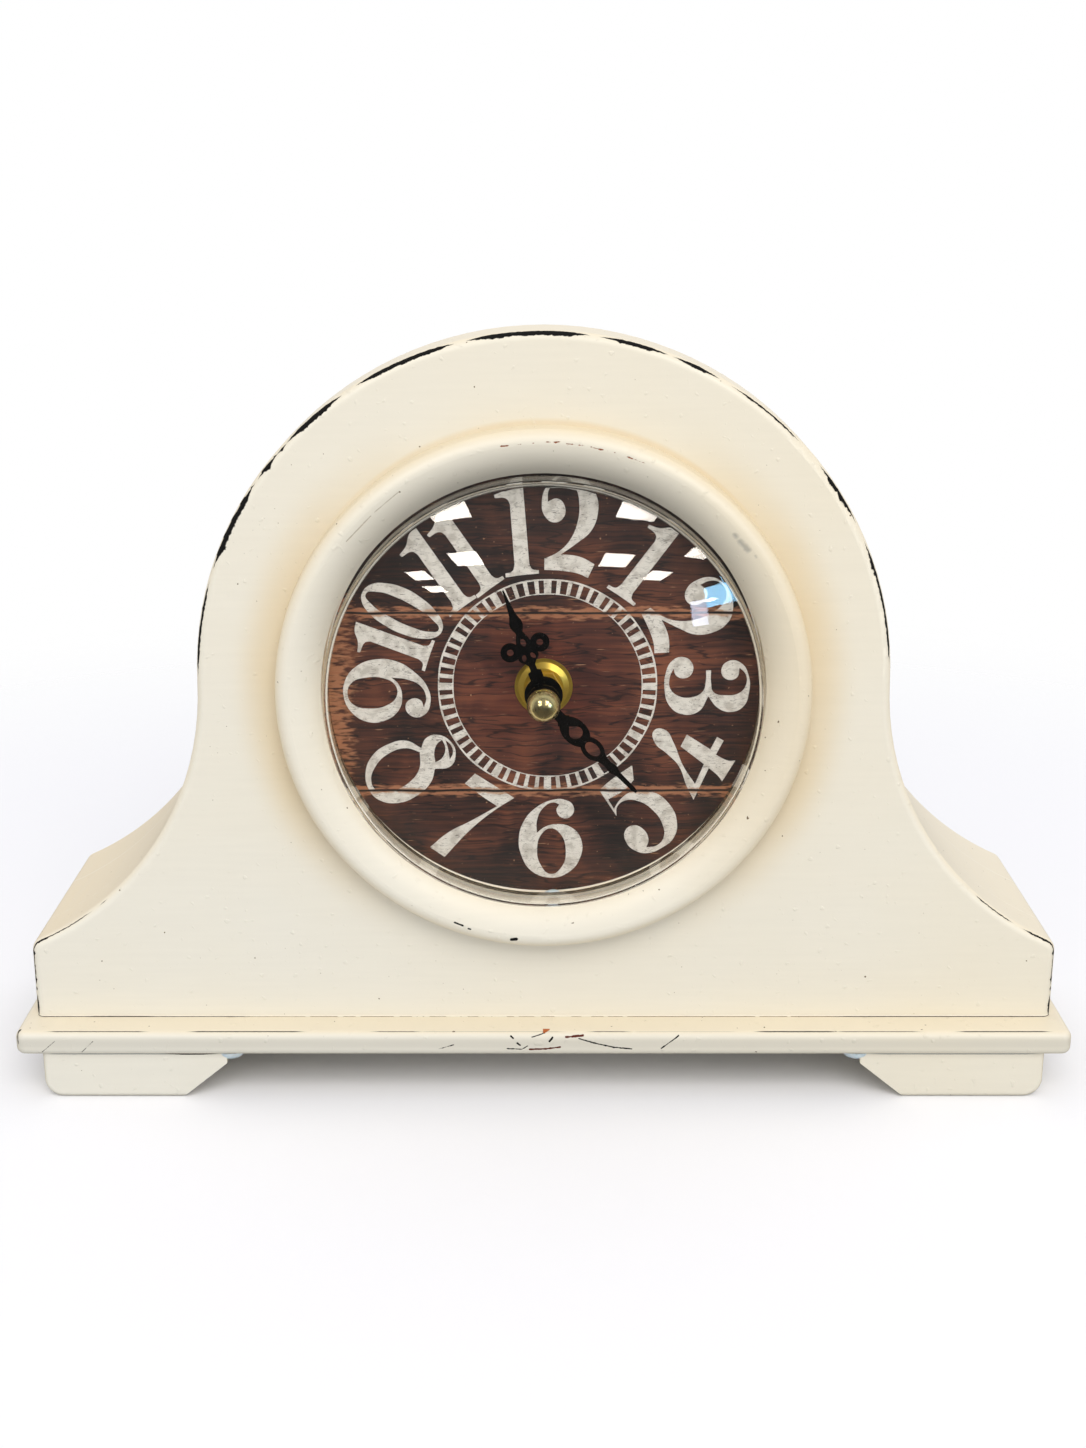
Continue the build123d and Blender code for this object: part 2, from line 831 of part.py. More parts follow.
def second_wheel():
    body = arbor(second_axis, train_arbor_radius)
    body += pinion(second_pinion_teeth, third_module, second_axis, third_level, second_turn)
    return body + wheel(second_teeth, second_module, second_axis, second_level)


def intermediate_wheel():
    axis = intermediate_axis
    body = arbor(axis, train_arbor_radius)
    body += pinion(intermediate_pinion_teeth, second_module, axis, second_level, intermediate_turn)
    return body + wheel(intermediate_teeth, rotor_module, axis, rotor_level)


def rotor_pinion():
    body = arbor(rotor_axis, train_arbor_radius)
    return body + pinion(rotor_teeth, rotor_module, rotor_axis, rotor_level, rotor_turn)


def rotor_magnet():
    front = level_front(third_level)
    bore = train_arbor_radius + fitted
    body = disc(magnet_radius, front, front + magnet_length, rotor_axis)
    return body - disc(bore, front, front + magnet_length, rotor_axis)


# Fixed pieces of the movement

def movement_outline():
    middle = (movement_top + movement_bottom) / 2
    height = movement_top - movement_bottom
    return Pos(0, middle) * RectangleRounded(movement_width, height, movement_corner_radius)


def stator_leg_places():
    ends = (stator_left + stator_leg / 2, stator_right - stator_leg / 2)
    return [(x, coil_axis_height) for x in ends]


def movement_front_cover():
    # a plate that carries the bush and the front pivots, with two posts under the motor
    cover = dial_slab(movement_outline(), movement_front, cover_back)
    cover -= disc(bush_radius + fitted, movement_front, cover_back)
    for axis in (motion_axis, third_axis, second_axis, intermediate_axis, rotor_axis):
        cover -= pivot_holes(axis)
    for place in stator_leg_places():
        cover += disc(post_radius, cover_back, stator_front, place)
    return cover


def movement_rear_case():
    # a shell with a closed gear chamber above and an open battery bay below
    half = bay_length / 2
    shell = dial_slab(movement_outline(), cover_back, movement_back)
    shell -= block(-half, half, -train_floor, movement_top - movement_wall, cover_back, wall_front)
    shell -= block(-half, half, bay_bottom, bay_top, cover_back, movement_back)
    for axis in (centre_axis, third_axis, second_axis, intermediate_axis, rotor_axis):
        shell -= pivot_holes(axis)
    return shell - disc(motion_arbor_radius + running, wall_front, movement_back, motion_axis)


def stator():
    # a soft iron plate round the rotor, with two legs that carry the core of the coil
    leg_bottom = coil_axis_height - stator_leg / 2
    bar_bottom = rotor_axis[1] - magnet_radius - stator_gap - stator_ring / 2
    back = stator_front + stator_thickness
    plate = block(stator_left, stator_right, bar_bottom, bar_bottom + stator_bar, stator_front, back)
    for x, _ in stator_leg_places():
        plate += block(x - stator_leg / 2, x + stator_leg / 2, leg_bottom, bar_bottom, stator_front, back)
    plate += disc(magnet_radius + stator_gap + stator_ring, stator_front, back, rotor_axis)
    return plate - disc(magnet_radius + stator_gap, stator_front, back, rotor_axis)


def coil():
    # copper wire on a core that lies across the legs of the stator
    front = stator_front + stator_thickness
    middle = (stator_left + stator_right) / 2
    top, bottom = coil_axis_height + core_width / 2, coil_axis_height - core_width / 2
    core = block(stator_left, stator_right, bottom, top, front, front + core_thickness)
    winding = Rot(0, 90, 0) * Cylinder(coil_radius, coil_length)
    return core + Pos(middle, front + core_thickness / 2, dial_height + coil_axis_height) * winding


def board_limits():
    left = -bay_length / 2 + board_inset
    top = movement_top - movement_wall - board_inset
    return left, left + board_width, top - board_height, top


def circuit_board():
    return block(*board_limits(), wall_front - board_thickness, wall_front)


def quartz_crystal():
    # a small metal can that lies on the board
    left, right, _, top = board_limits()
    can = Rot(0, 90, 0) * Cylinder(crystal_radius, crystal_length)
    depth = wall_front - board_thickness - crystal_radius
    return Pos((left + right) / 2, depth, dial_height + top - 2 * crystal_radius) * can


def control_chip():
    left, right, bottom, top = board_limits()
    x, z = (left + right) / 2, bottom + chip_width
    back = wall_front - board_thickness
    half = chip_width / 2
    return block(x - half, x + half, z - half, z + half, back - chip_thickness, back)


def battery():
    # a cylindrical cell that lies across the bay, with its button to the right
    can = Rot(0, 90, 0) * Cylinder(battery_radius, battery_length)
    can = fillet(can.edges(), movement_wall / 2)
    button = Rot(0, 90, 0) * Cylinder(battery_button_radius, battery_button_length)
    whole = Pos(-battery_button_length / 2, 0, 0) * can + Pos(battery_length / 2, 0, 0) * button
    return Pos(0, battery_axis_depth, dial_height + battery_axis_height) * whole


def contact(side):
    # a sheet metal contact on the end wall of the bay, with a raised pad that meets the cell
    wall = side * bay_length / 2
    sheet = Box(contact_sheet, contact_width, contact_width)
    pad_length = contact_depth - contact_sheet
    pad = Rot(0, 90, 0) * Cylinder(contact_pad_radius, pad_length)
    piece = Pos(wall - side * contact_sheet / 2, 0, 0) * sheet
    piece += Pos(wall - side * (contact_sheet + pad_length / 2), 0, 0) * pad
    return Pos(0, battery_axis_depth, dial_height + battery_axis_height) * piece


# The clock, piece by piece

block_front, block_joint = panel_thickness, panel_thickness + front_block_depth
nodes = {
    "front_panel": front_panel(),
    "left_shoulder_front_block": shoulder_block(-1, block_front, block_joint),
    "left_shoulder_rear_block": shoulder_block(-1, block_joint, case_depth),
    "right_shoulder_front_block": shoulder_block(1, block_front, block_joint),
    "right_shoulder_rear_block": shoulder_block(1, block_joint, case_depth),
    "drum_wrap": drum_wrap(),
    "rear_panel": rear_panel(),
    "rear_panel_screws": Compound(rear_panel_screws()),
    "base_board": base_board(),
    "base_screws": Compound(base_screws()),
    "foot_screws": Compound(foot_screws()),
    "bezel_ring": bezel_ring(),
    "domed_glass": glass(),
    "dial_paper": dial_sheet(dial_recess, plate_front),
    "dial_plate": dial_sheet(plate_front, plate_back),
    "dial_retaining_ring": dial_retaining_ring(),
    "dial_screws": Compound(dial_screws()),
    "centre_bush": centre_bush(),
    "rubber_gasket": gasket(),
    "dial_washer": dial_washer(),
    "bush_nut": bush_nut(),
    "hour_hand": hour_hand(),
    "minute_hand": minute_hand(),
    "cap_nut": cap_nut(),
    "hour_wheel": hour_wheel(),
    "minute_arbor": minute_arbor(),
    "motion_wheel": motion_wheel(),
    "setting_knob": setting_knob(),
    "centre_wheel": centre_wheel(),
    "third_wheel": third_wheel(),
    "second_wheel": second_wheel(),
    "intermediate_wheel": intermediate_wheel(),
    "rotor_pinion": rotor_pinion(),
    "rotor_magnet": rotor_magnet(),
    "movement_front_cover": movement_front_cover(),
    "movement_rear_case": movement_rear_case(),
    "stator": stator(),
    "coil": coil(),
    "circuit_board": circuit_board(),
    "quartz_crystal": quartz_crystal(),
    "control_chip": control_chip(),
    "battery": battery(),
    "positive_contact": contact(1),
    "negative_contact": contact(-1),
}
for name, (foot_x, foot_y) in foot_places().items():
    nodes[name] = foot(foot_x, foot_y)

os.makedirs("parts", exist_ok=True)
for name, shape in nodes.items():
    export_step(Pos(0, depth_shift, 0) * shape, f"parts/{name}.step")
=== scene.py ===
import math

import bmesh
import bpy
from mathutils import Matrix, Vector


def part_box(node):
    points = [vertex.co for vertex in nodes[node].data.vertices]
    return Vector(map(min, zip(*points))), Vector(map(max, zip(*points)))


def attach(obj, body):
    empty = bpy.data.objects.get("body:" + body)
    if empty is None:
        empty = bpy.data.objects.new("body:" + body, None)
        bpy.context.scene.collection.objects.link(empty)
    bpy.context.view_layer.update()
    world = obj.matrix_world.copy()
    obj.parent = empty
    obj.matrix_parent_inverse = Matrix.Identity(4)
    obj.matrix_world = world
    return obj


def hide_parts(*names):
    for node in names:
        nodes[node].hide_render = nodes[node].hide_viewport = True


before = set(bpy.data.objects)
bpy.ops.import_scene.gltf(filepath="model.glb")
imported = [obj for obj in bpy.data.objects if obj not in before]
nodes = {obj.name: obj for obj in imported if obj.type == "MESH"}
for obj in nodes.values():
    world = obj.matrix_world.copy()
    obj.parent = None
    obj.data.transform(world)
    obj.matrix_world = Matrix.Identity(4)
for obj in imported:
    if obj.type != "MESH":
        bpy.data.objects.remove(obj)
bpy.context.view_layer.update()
mm = 0.001
perMetre = 1000  # millimetres in a metre
smoothAngle = math.radians(40)  # what is shaded smooth turns by less
print("frame loaded:", len(nodes), "nodes")

bpy.context.scene.view_settings.view_transform = "Standard"
bpy.ops.object.select_all(action="DESELECT")

# places that the looks are hung on, read from the frame
paperLow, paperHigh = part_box("dial_paper")
dialCentre = Vector(((paperLow.x + paperHigh.x) / 2, paperLow.y, (paperLow.z + paperHigh.z) / 2))
panelLow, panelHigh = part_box("front_panel")
panelFoot = Vector((0, panelLow.y, 0))  # on the floor, below the face of the front panel
baseLow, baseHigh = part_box("base_board")


# helpers

def hexColour(code):
    # sRGB hex to linear RGBA
    shares = [int(code[k:k + 2], 16) / 255 for k in (1, 3, 5)]
    return [s / 12.92 if s <= 0.04045 else ((s + 0.055) / 1.055) ** 2.4 for s in shares] + [1.0]


def nodeAdder(tree):
    # empties a node tree and gives the one function that adds nodes to it
    tree.nodes.clear()

    def add(kind, inputs=(), **settings):
        # inputs are a list in the sockets' order, or a dictionary by their names
        node = tree.nodes.new("ShaderNode" + kind)
        for key, value in settings.items():
            setattr(node, key, value)
        named = inputs if isinstance(inputs, dict) else dict(enumerate(inputs))
        for key, value in named.items():
            source = value.outputs[0] if isinstance(value, bpy.types.Node) else value
            if isinstance(source, bpy.types.NodeSocket):
                tree.links.new(source, node.inputs[key])
            else:
                node.inputs[key].default_value = source
        return node

    return add


def newMaterial(name):
    material = bpy.data.materials.new(name)
    material.use_nodes = True
    return material, nodeAdder(material.node_tree)


def placeFrom(add, origin):
    # millimetres from an origin, as a vector and as its three values
    scaled = {"Vector": add("TexCoord").outputs["Object"], "Scale": (perMetre,) * 3}
    scaled["Location"] = [-perMetre * c for c in origin]
    place = add("Mapping", scaled).outputs[0]
    return place, add("SeparateXYZ", [place]).outputs


def streaks(add, place, sizes, detail=2):
    # a noise drawn out along brush marks or grain, from its sizes in millimetres along the three axes
    stretched = add("Mapping", {"Vector": place, "Scale": [1 / size for size in sizes]})
    return add("TexNoise", {"Vector": stretched, "Scale": 1.0, "Detail": detail})


def fillRamp(ramp, stops):
    # colour stops of a ramp node, from its two first ones
    elements = ramp.color_ramp.elements
    while len(elements) < len(stops):
        elements.new(0.5)
    for element, (position, code) in zip(elements, stops):
        element.position = position
        element.color = hexColour(code)
    return ramp


def dress(material, *names):
    # a CAD node gets this material in all its slots
    for name in names:
        slots = nodes[name].data.materials
        slots.clear()
        slots.append(material)


def makeActive(obj):
    bpy.ops.object.select_all(action="DESELECT")
    obj.select_set(True)
    bpy.context.view_layer.objects.active = obj


def newPiece(obj, name, material, body="case"):
    # a finished piece: its place goes into the mesh, and it rides on a body
    makeActive(obj)
    bpy.ops.object.transform_apply(location=True, rotation=True, scale=True)
    obj.name = name
    obj.data.materials.clear()
    obj.data.materials.append(material)
    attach(obj, body)
    return obj


# camera at the photograph's place and angle, in millimetres from the foot of the front panel

camera = dict(lens=47.82, sensor=36, pitch=16.85, x=-0.18, y=-519.4, z=269.4, nearest=0.01)

stand = panelFoot + mm * Vector((camera["x"], camera["y"], camera["z"]))
bpy.ops.object.camera_add(location=stand, rotation=(math.radians(90 - camera["pitch"]), 0, 0))
viewer = bpy.context.object
viewer.data.lens = camera["lens"]
viewer.data.sensor_width = camera["sensor"]
viewer.data.clip_start = camera["nearest"]
bpy.context.scene.camera = viewer
print("camera set")


# cream chalk paint on wood: brushed, glazed and sealed, so a soft satin with nibs, specks and rubbed edges
# in these dictionaries a band is what a value runs from and to, and then what it becomes there

paint = dict(
    cool="#EAE7DD", warm="#EBE3D0", awayShadeTint="#EADFC8", glazeAndShade="#DDBF83", speck="#6E5A40",
    toneSize=70, brush=(24, 24, 1.4), nibSize=1.9, speckSize=1.0, raggedSize=1.1,
    drift=(-150, 150, -0.25, 0.2), climb=(50, 170, 0.0, 0.25), toneShare=0.9,
    turned=(-0.95, -0.45, 0.0, 0.85), streak=(0.3, 0.7, 0.988, 1.006), nibs=(0.74, 0.84),
    specks=(0.865, 0.89), satin=(0.0, 1.0, 0.34, 0.48), brushRelief=0.12, relief=0.25,
    reliefStrength=0.5, ior=1.48,
)


def creamPaint(name, glazeAndShadeMask=None, marks=None):
    material, add = newMaterial(name)
    place, axes = placeFrom(add, panelFoot)
    facing = add("SeparateXYZ", [add("NewGeometry").outputs["Normal"]]).outputs

    # colour: cool low on the face, yellower to the right and further up; painted shade where it turns away
    tone = add("TexNoise", {"Vector": place, "Scale": 1 / paint["toneSize"], "Detail": 3})
    drift = add("MapRange", [axes["X"], *paint["drift"]])
    climb = add("MapRange", [axes["Z"], *paint["climb"]])
    warmth = add("Math", [drift, climb], operation="ADD")
    warmth = add("Math", [tone, paint["toneShare"], warmth], operation="MULTIPLY_ADD", use_clamp=True)
    face = add("MixRGB", [warmth, hexColour(paint["cool"]), hexColour(paint["warm"])])
    # painted shade: what turns away from the front is darker and yellower
    turned = add("MapRange", [facing["Y"], *paint["turned"]])
    colour = add("MixRGB", [turned, face, hexColour(paint["awayShadeTint"])])
    # glaze, and painted shade where the patina functions put it
    if glazeAndShadeMask:
        colour = add("MixRGB", [glazeAndShadeMask(add, axes, tone), colour, hexColour(paint["glazeAndShade"])])

    # faint brush marks run across the clock
    brush = streaks(add, place, paint["brush"])
    streak = add("MapRange", [brush, *paint["streak"]])
    colour = add("MixRGB", [1.0, colour, streak], blend_type="MULTIPLY")

    # nibs of dried paint stand up, and a few dark specks are pits
    nibs = add("TexNoise", {"Vector": place, "Scale": 1 / paint["nibSize"], "Detail": 0})
    raised = add("MapRange", [nibs, *paint["nibs"]])
    dots = add("TexNoise", {"Vector": place, "Scale": 1 / paint["speckSize"], "Detail": 0})
    specks = add("MapRange", [dots, *paint["specks"]])
    colour = add("MixRGB", [specks, colour, hexColour(paint["speck"])])

    height = add("Math", [brush, paint["brushRelief"], raised], operation="MULTIPLY_ADD")
    height = add("Math", [height, specks], operation="SUBTRACT")
    worn = 0.0  # what is rubbed through is matt
    # each painted shade, shadow and highlight mark below is made matt too, like what is rubbed through
    if marks:
        ragged = add("TexNoise", {"Vector": place, "Scale": 1 / paint["raggedSize"], "Detail": 3})
        for mark, code in marks(add, axes, ragged):
            colour = add("MixRGB", [mark, colour, hexColour(code)])
            height = add("Math", [height, mark], operation="SUBTRACT")
            worn = add("Math", [worn, mark], operation="MAXIMUM")
    rough = add("MapRange", [brush, *paint["satin"]])
    rough = add("Math", [rough, worn], operation="MAXIMUM")
    relief = {"Height": height, "Distance": paint["relief"] * mm, "Strength": paint["reliefStrength"]}
    bump = add("Bump", relief)
    coat = {"Base Color": colour, "Roughness": rough, "Normal": bump, "IOR": paint["ior"]}
    add("OutputMaterial", {"Surface": add("BsdfPrincipled", coat)})
    return material


# broken lines and scratches where the paint is rubbed through, and colours of painted shade, shadow and
# highlight

rubbed = dict(
    black="#060505", brown="#7A5F3C", rust="#8C5236", red="#5E2A1F", orange="#B4622F", grey="#A7A398",
    paleHighlight="#F6F1E4",
)


def dashes(add, along, table, taper):
    # half the width of a broken line, from the start, end and half width of each dash
    width = None
    for start, end, size in table:
        off = add("Math", [along, (start + end) / 2], operation="SUBTRACT")
        off = add("Math", [off], operation="ABSOLUTE")
        half = (end - start) / 2
        dash = add("MapRange", [off, half, max(half - taper, 0), 0.0, size])
        width = add("Math", [width, dash], operation="MAXIMUM") if width else dash
    return width


def line(add, distance, width, ragged, wander, soft=0.1):
    # 1 inside a line of that half width, with a ragged border
    shift = add("Math", [ragged, 0.5], operation="SUBTRACT")
    distance = add("Math", [shift, wander, distance], operation="MULTIPLY_ADD")
    distance = add("Math", [distance], operation="ABSOLUTE")
    inside = add("Math", [width, distance], operation="SUBTRACT")
    return add("MapRange", [inside, 0.0, soft])


def scratches(add, flat, chains, ragged, wander=0.3, soft=0.1):
    # 1 inside a set of scratches, each half its width and then its points
    deepest = None
    for half, *points in chains:
        for start, end in zip(points, points[1:]):
            run = Vector((end[0] - start[0], 0, end[1] - start[1]))
            off = add("VectorMath", [flat, (start[0], 0, start[1])], operation="SUBTRACT")
            share = add("VectorMath", [off, run / run.length_squared], operation="DOT_PRODUCT")
            share = add("Clamp", [share.outputs["Value"]])
            along = add("VectorMath", {0: run, "Scale": share}, operation="SCALE")
            gap = add("VectorMath", [off, along], operation="DISTANCE").outputs["Value"]
            inside = add("Math", [half, gap], operation="SUBTRACT")
            deepest = add("Math", [deepest, inside], operation="MAXIMUM") if deepest else inside
    shift = add("Math", [ragged, 0.5], operation="SUBTRACT")
    deepest = add("Math", [shift, wander, deepest], operation="MULTIPLY_ADD")
    return add("MapRange", [deepest, 0.0, soft])


# front panel: degrees round the arch, millimetres along the rest, and half widths in millimetres

panelLook = dict(
    archRadius=97.5, edgeDepth=0.95, edgeWander=0.55, archTaper=3.6, taper=3.0, endX=148.5,
    shoulderTop=60.0, shoulderFoot=34.0, jointTaper=5.0, glazeTaper=0.4, jointWander=0.1,
    litAbove=0.55, litWidth=0.22, litWander=0.2,
    grooveRadius=75.4, groove=(0.3, 1.5, 0.4, 0.0), haloGlazeAndShadow=(0.0, 15.0, 0.58, 0.0), side=(0.45, 1.0),
    patches=(0.3, 0.65, 0.6, 1.0), amber=(-90.0, -112.0, 0.0, 0.28), behind=(1.5, 3.0),
    arch=[(-89, -72, 0.5), (-70.5, -54.0, 0.85), (-53.8, -47.8, 0.85), (-48.5, -45.8, 0.6),
          (-46.2, -33.8, 0.72), (-31.6, -14.0, 0.62), (-12.6, 7.5, 0.66), (8.6, 20.4, 0.58),
          (20.6, 29.4, 0.56), (30.9, 46.0, 0.3), (50.4, 62.3, 0.48), (65.0, 87.0, 0.45)],
    shoulder=[(-151.5, -143.0, 0.34), (-150.5, -131.0, 0.18), (-129.5, -126.5, 0.14),
              (120.5, 137.5, 0.2), (139.5, 151.5, 0.3)],
    end=[(21.0, 28.8, 0.5), (29.4, 31.2, 0.4), (31.4, 35.4, 0.45), (36.8, 38.4, 0.35),
         (40.0, 43.4, 0.55)],
    openJoint=[(-156, -126, 0.22), (-138, -112, 0.3), (-124, -84, 0.2), (84, 156, 0.25)],
    glazedJoint=[(-88, -70.2, 0.14), (-69.3, -60.7, 0.16), (-59.5, -55.3, 0.15), (-54.4, -44.1, 0.17),
                 (-42.9, -38.7, 0.15), (-37.8, -37.0, 0.15), (-36, -35.1, 0.15), (-34, -28.6, 0.15),
                 (-24.9, -24, 0.13), (-22.7, -19.1, 0.15), (-18.2, -17.5, 0.13), (-15.8, -14.9, 0.13),
                 (-11.1, -8.5, 0.15), (-7.6, -2.5, 0.14), (-1, 3.4, 0.15), (7.9, 11.4, 0.15),
                 (13.8, 18, 0.15), (18.8, 23.6, 0.15), (24.5, 62.8, 0.18), (63.6, 72.3, 0.17),
                 (72.9, 88, 0.2)],
)


def fromAxis(add, axes):
    # a point's place round the dial's axis, and how far from it
    up = add("Math", [axes["Z"], perMetre * dialCentre.z], operation="SUBTRACT")
    flat = add("CombineXYZ", {0: axes["X"], 2: up})
    return flat, add("VectorMath", [flat], operation="LENGTH").outputs["Value"]


def leftShoulderShade(add, axes):
    # painted shade: the left shoulder is tinted darker and warmer
    return add("MapRange", [axes["X"], *panelLook["amber"]])


def panelPatina(add, axes, tone):
    # amber glaze in the groove round the bezel; a tan halo of glaze and painted shadow, stronger to the
    # sides
    radius = fromAxis(add, axes)[1]
    groove = add("Math", [radius, panelLook["grooveRadius"]], operation="SUBTRACT")
    haloGlazeAndShadow = add("MapRange", [groove, *panelLook["haloGlazeAndShadow"]], interpolation_type="SMOOTHERSTEP")
    side = add("Math", [axes["X"], radius], operation="DIVIDE")
    side = add("Math", [side], operation="ABSOLUTE")
    side = add("MapRange", [side, *panelLook["side"]])
    haloGlazeAndShadow = add("Math", [haloGlazeAndShadow, side], operation="MULTIPLY")
    groove = add("Math", [groove], operation="ABSOLUTE")
    groove = add("MapRange", [groove, *panelLook["groove"]])
    haloGlazeAndShadow = add("Math", [haloGlazeAndShadow, groove], operation="MAXIMUM")
    patches = add("MapRange", [tone, *panelLook["patches"]])
    haloGlazeAndShadow = add("Math", [haloGlazeAndShadow, patches], operation="MULTIPLY")
    # painted shade on the left shoulder's top, behind the face
    behind = add("MapRange", [axes["Y"], *panelLook["behind"]])
    shoulder = add("Math", [leftShoulderShade(add, axes), behind], operation="MULTIPLY")
    return add("Math", [haloGlazeAndShadow, shoulder], operation="MAXIMUM")


def panelMarks(add, axes, ragged):
    taper = panelLook["taper"]
    rise = add("Math", [axes["Z"], perMetre * panelHigh.z - panelLook["archRadius"]], operation="SUBTRACT")
    bearing = add("Math", [axes["X"], rise], operation="ARCTAN2")
    bearing = add("Math", [bearing], operation="DEGREES")
    onArch = dashes(add, bearing, panelLook["arch"], panelLook["archTaper"])
    # the shoulders' edges lie low and the ends far out, and the foot of the panel has neither
    low = add("MapRange", [axes["Z"], panelLook["shoulderTop"], panelLook["shoulderTop"] - 1])
    high = add("MapRange", [axes["Z"], panelLook["shoulderFoot"], panelLook["shoulderFoot"] + 1])
    onShoulder = dashes(add, axes["X"], panelLook["shoulder"], taper)
    onShoulder = add("Math", [onShoulder, low], operation="MULTIPLY")
    onShoulder = add("Math", [onShoulder, high], operation="MULTIPLY")
    outside = add("Math", [axes["X"]], operation="ABSOLUTE")
    outside = add("Math", [outside, panelLook["endX"]], operation="GREATER_THAN")
    onEnd = add("Math", [dashes(add, axes["Z"], panelLook["end"], taper), outside], operation="MULTIPLY")
    width = add("Math", [onArch, onShoulder], operation="MAXIMUM")
    width = add("Math", [width, onEnd], operation="MAXIMUM")
    depth = add("Math", [axes["Y"], panelLook["edgeDepth"]], operation="SUBTRACT")
    edge = line(add, depth, width, ragged, panelLook["edgeWander"])
    # only the outer edge, not the round window
    outer = add("Math", [fromAxis(add, axes)[1], panelLook["grooveRadius"]], operation="GREATER_THAN")
    edge = add("Math", [edge, outer], operation="MULTIPLY")
    # the joint on the base board: painted shadow where it is open at both ends, glaze in the middle
    above = add("Math", [axes["Z"], perMetre * panelLow.z], operation="SUBTRACT")
    glazeWidth = dashes(add, axes["X"], panelLook["glazedJoint"], panelLook["glazeTaper"])
    glazed = line(add, above, glazeWidth, ragged, panelLook["jointWander"])
    openWidth = dashes(add, axes["X"], panelLook["openJoint"], panelLook["jointTaper"])
    openGapShadow = line(add, above, openWidth, ragged, panelLook["jointWander"])
    # painted highlight where the panel's lower edge catches the light, just above the joint
    edgeAbove = add("Math", [above, panelLook["litAbove"]], operation="SUBTRACT")
    lit = line(add, edgeAbove, panelLook["litWidth"], ragged, panelLook["litWander"])
    return [(lit, rubbed["paleHighlight"]), (edge, rubbed["black"]), (glazed, rubbed["brown"]),
            (openGapShadow, rubbed["black"])]


# bezel ring: marks in millimetres from the dial's axis

bezelLook = dict(
    right=(35.0, 72.0, 0.0, 0.3), slope=(71.2, 75.0, 0.0, 0.2), patches=(0.0, 1.0, 0.5, 1.3),
    inward=(72.0, 63.5, 0.0, 0.85), upward=(0.0, 60.0), smudgeWander=0.8, smudgeSoft=0.9, smudged=0.8,
    scratched=0.45, speckWander=1.2,
    chips=[(0.55, (-9.2, -71.7), (-7.9, -71.5)), (0.3, (-25.5, -66.3), (-23.2, -67.3)),
           (0.25, (-21.6, -68.2), (-21, -68.4))],
    redSpecks=[(0.05, (-12.6, 70.2), (-2.2, 71.2)), (0.16, (0.4, 71.4), (4.3, 71.5)),
               (0.1, (6.0, 71.0), (11.0, 70.4)), (0.08, (12.5, 70.1), (19.0, 68.6)),
               (0.05, (20.5, 68.1), (27.0, 65.8))],
    scratch=[(0.2, (-53.3, 44.5), (-46.5, 51.5)), (0.16, (-45.5, 52.5), (-38.6, 58.2))],
    smudge=[(1.0, (51.6, 46.2), (51.9, 45.9)), (1.15, (53.0, 44.4), (55.2, 42.2)),
            (0.6, (57.3, 40.6), (57.5, 40.2))],
)


def bezelPatina(add, axes, tone):
    # the outer slope is amber, and the right side is tinted amber as painted shade
    radius = fromAxis(add, axes)[1]
    right = add("MapRange", [axes["X"], *bezelLook["right"]])
    slope = add("MapRange", [radius, *bezelLook["slope"]])
    patches = add("MapRange", [tone, *bezelLook["patches"]])
    slope = add("Math", [slope, patches], operation="MULTIPLY")
    return add("Math", [slope, right], operation="MAXIMUM")


def bezelMarks(add, axes, ragged):
    flat, radius = fromAxis(add, axes)
    # painted shade inside the ring's upper half, towards the lip, where it faces down
    inward = add("MapRange", [radius, *bezelLook["inward"]])
    upward = add("MapRange", [add("SeparateXYZ", [flat]).outputs["Z"], *bezelLook["upward"]])
    upperRingShade = add("Math", [inward, upward], operation="MULTIPLY")
    wander, soft = bezelLook["smudgeWander"], bezelLook["smudgeSoft"]
    smudge = scratches(add, flat, bezelLook["smudge"], ragged, wander, soft)
    smudge = add("Math", [smudge, bezelLook["smudged"]], operation="MULTIPLY")
    scratch = scratches(add, flat, bezelLook["scratch"], ragged)
    scratch = add("Math", [scratch, bezelLook["scratched"]], operation="MULTIPLY")
    specks = scratches(add, flat, bezelLook["redSpecks"], ragged, bezelLook["speckWander"])
    chips = scratches(add, flat, bezelLook["chips"], ragged)
    return [(upperRingShade, rubbed["grey"]), (smudge, rubbed["grey"]), (scratch, rubbed["brown"]),
            (specks, rubbed["rust"]), (chips, rubbed["black"])]


# base board: scratches on its front edge, in millimetres across and up, and a rubbed line along its top

baseLook = dict(
    face=(3.0, 2.5), frontShadeBand=(3.6, 0.5, 0.0, 0.32), scratchWander=0.5, edgeBehind=1.3, edgeTaper=4,
    edgeBand=2, edgeWander=0.15,
    edge=[(-146, -114, 0.17), (-104.6, -68.5, 0.2), (-51.6, -34, 0.15), (-38, 8, 0.08), (11.5, 27, 0.15),
          (24, 58, 0.07), (60.3, 87, 0.22), (83.3, 111.2, 0.15), (119, 149, 0.2)],
    black=[(0.09, (-146.2, 15.4), (-142.2, 18.9)), (0.09, (-134.6, 15.4), (-131.1, 18.9)),
           (0.2, (-153.0, 17.8), (-153.1, 21.0), (-152.5, 21.5)),
           (0.3, (-9.5, 20.4), (-8.9, 19.9)), (0.3, (-7.6, 18.4), (-6.9, 17.7)),
           (0.2, (-10.6, 16.6), (-6.3, 16.4), (-4.7, 17.4)), (0.34, (2.6, 20.1), (1.7, 18.9)),
           (0.24, (10.2, 19.8), (15.5, 18.2), (20.5, 17.0), (25.6, 16.5)),
           (0.22, (34.3, 16.7), (39.2, 20.6)), (0.14, (-3.4, 20.2), (0.35, 21.2)),
           (0.16, (-30.5, 16.5), (-26.1, 17.8))],
    red=[(0.3, (-4.0, 16.4), (0.4, 16.5), (4.8, 17.1)), (0.34, (6.5, 20.2), (11.4, 20.6))],
    orange=[(0.35, (0.1, 21.5), (1.7, 21.9))],
)


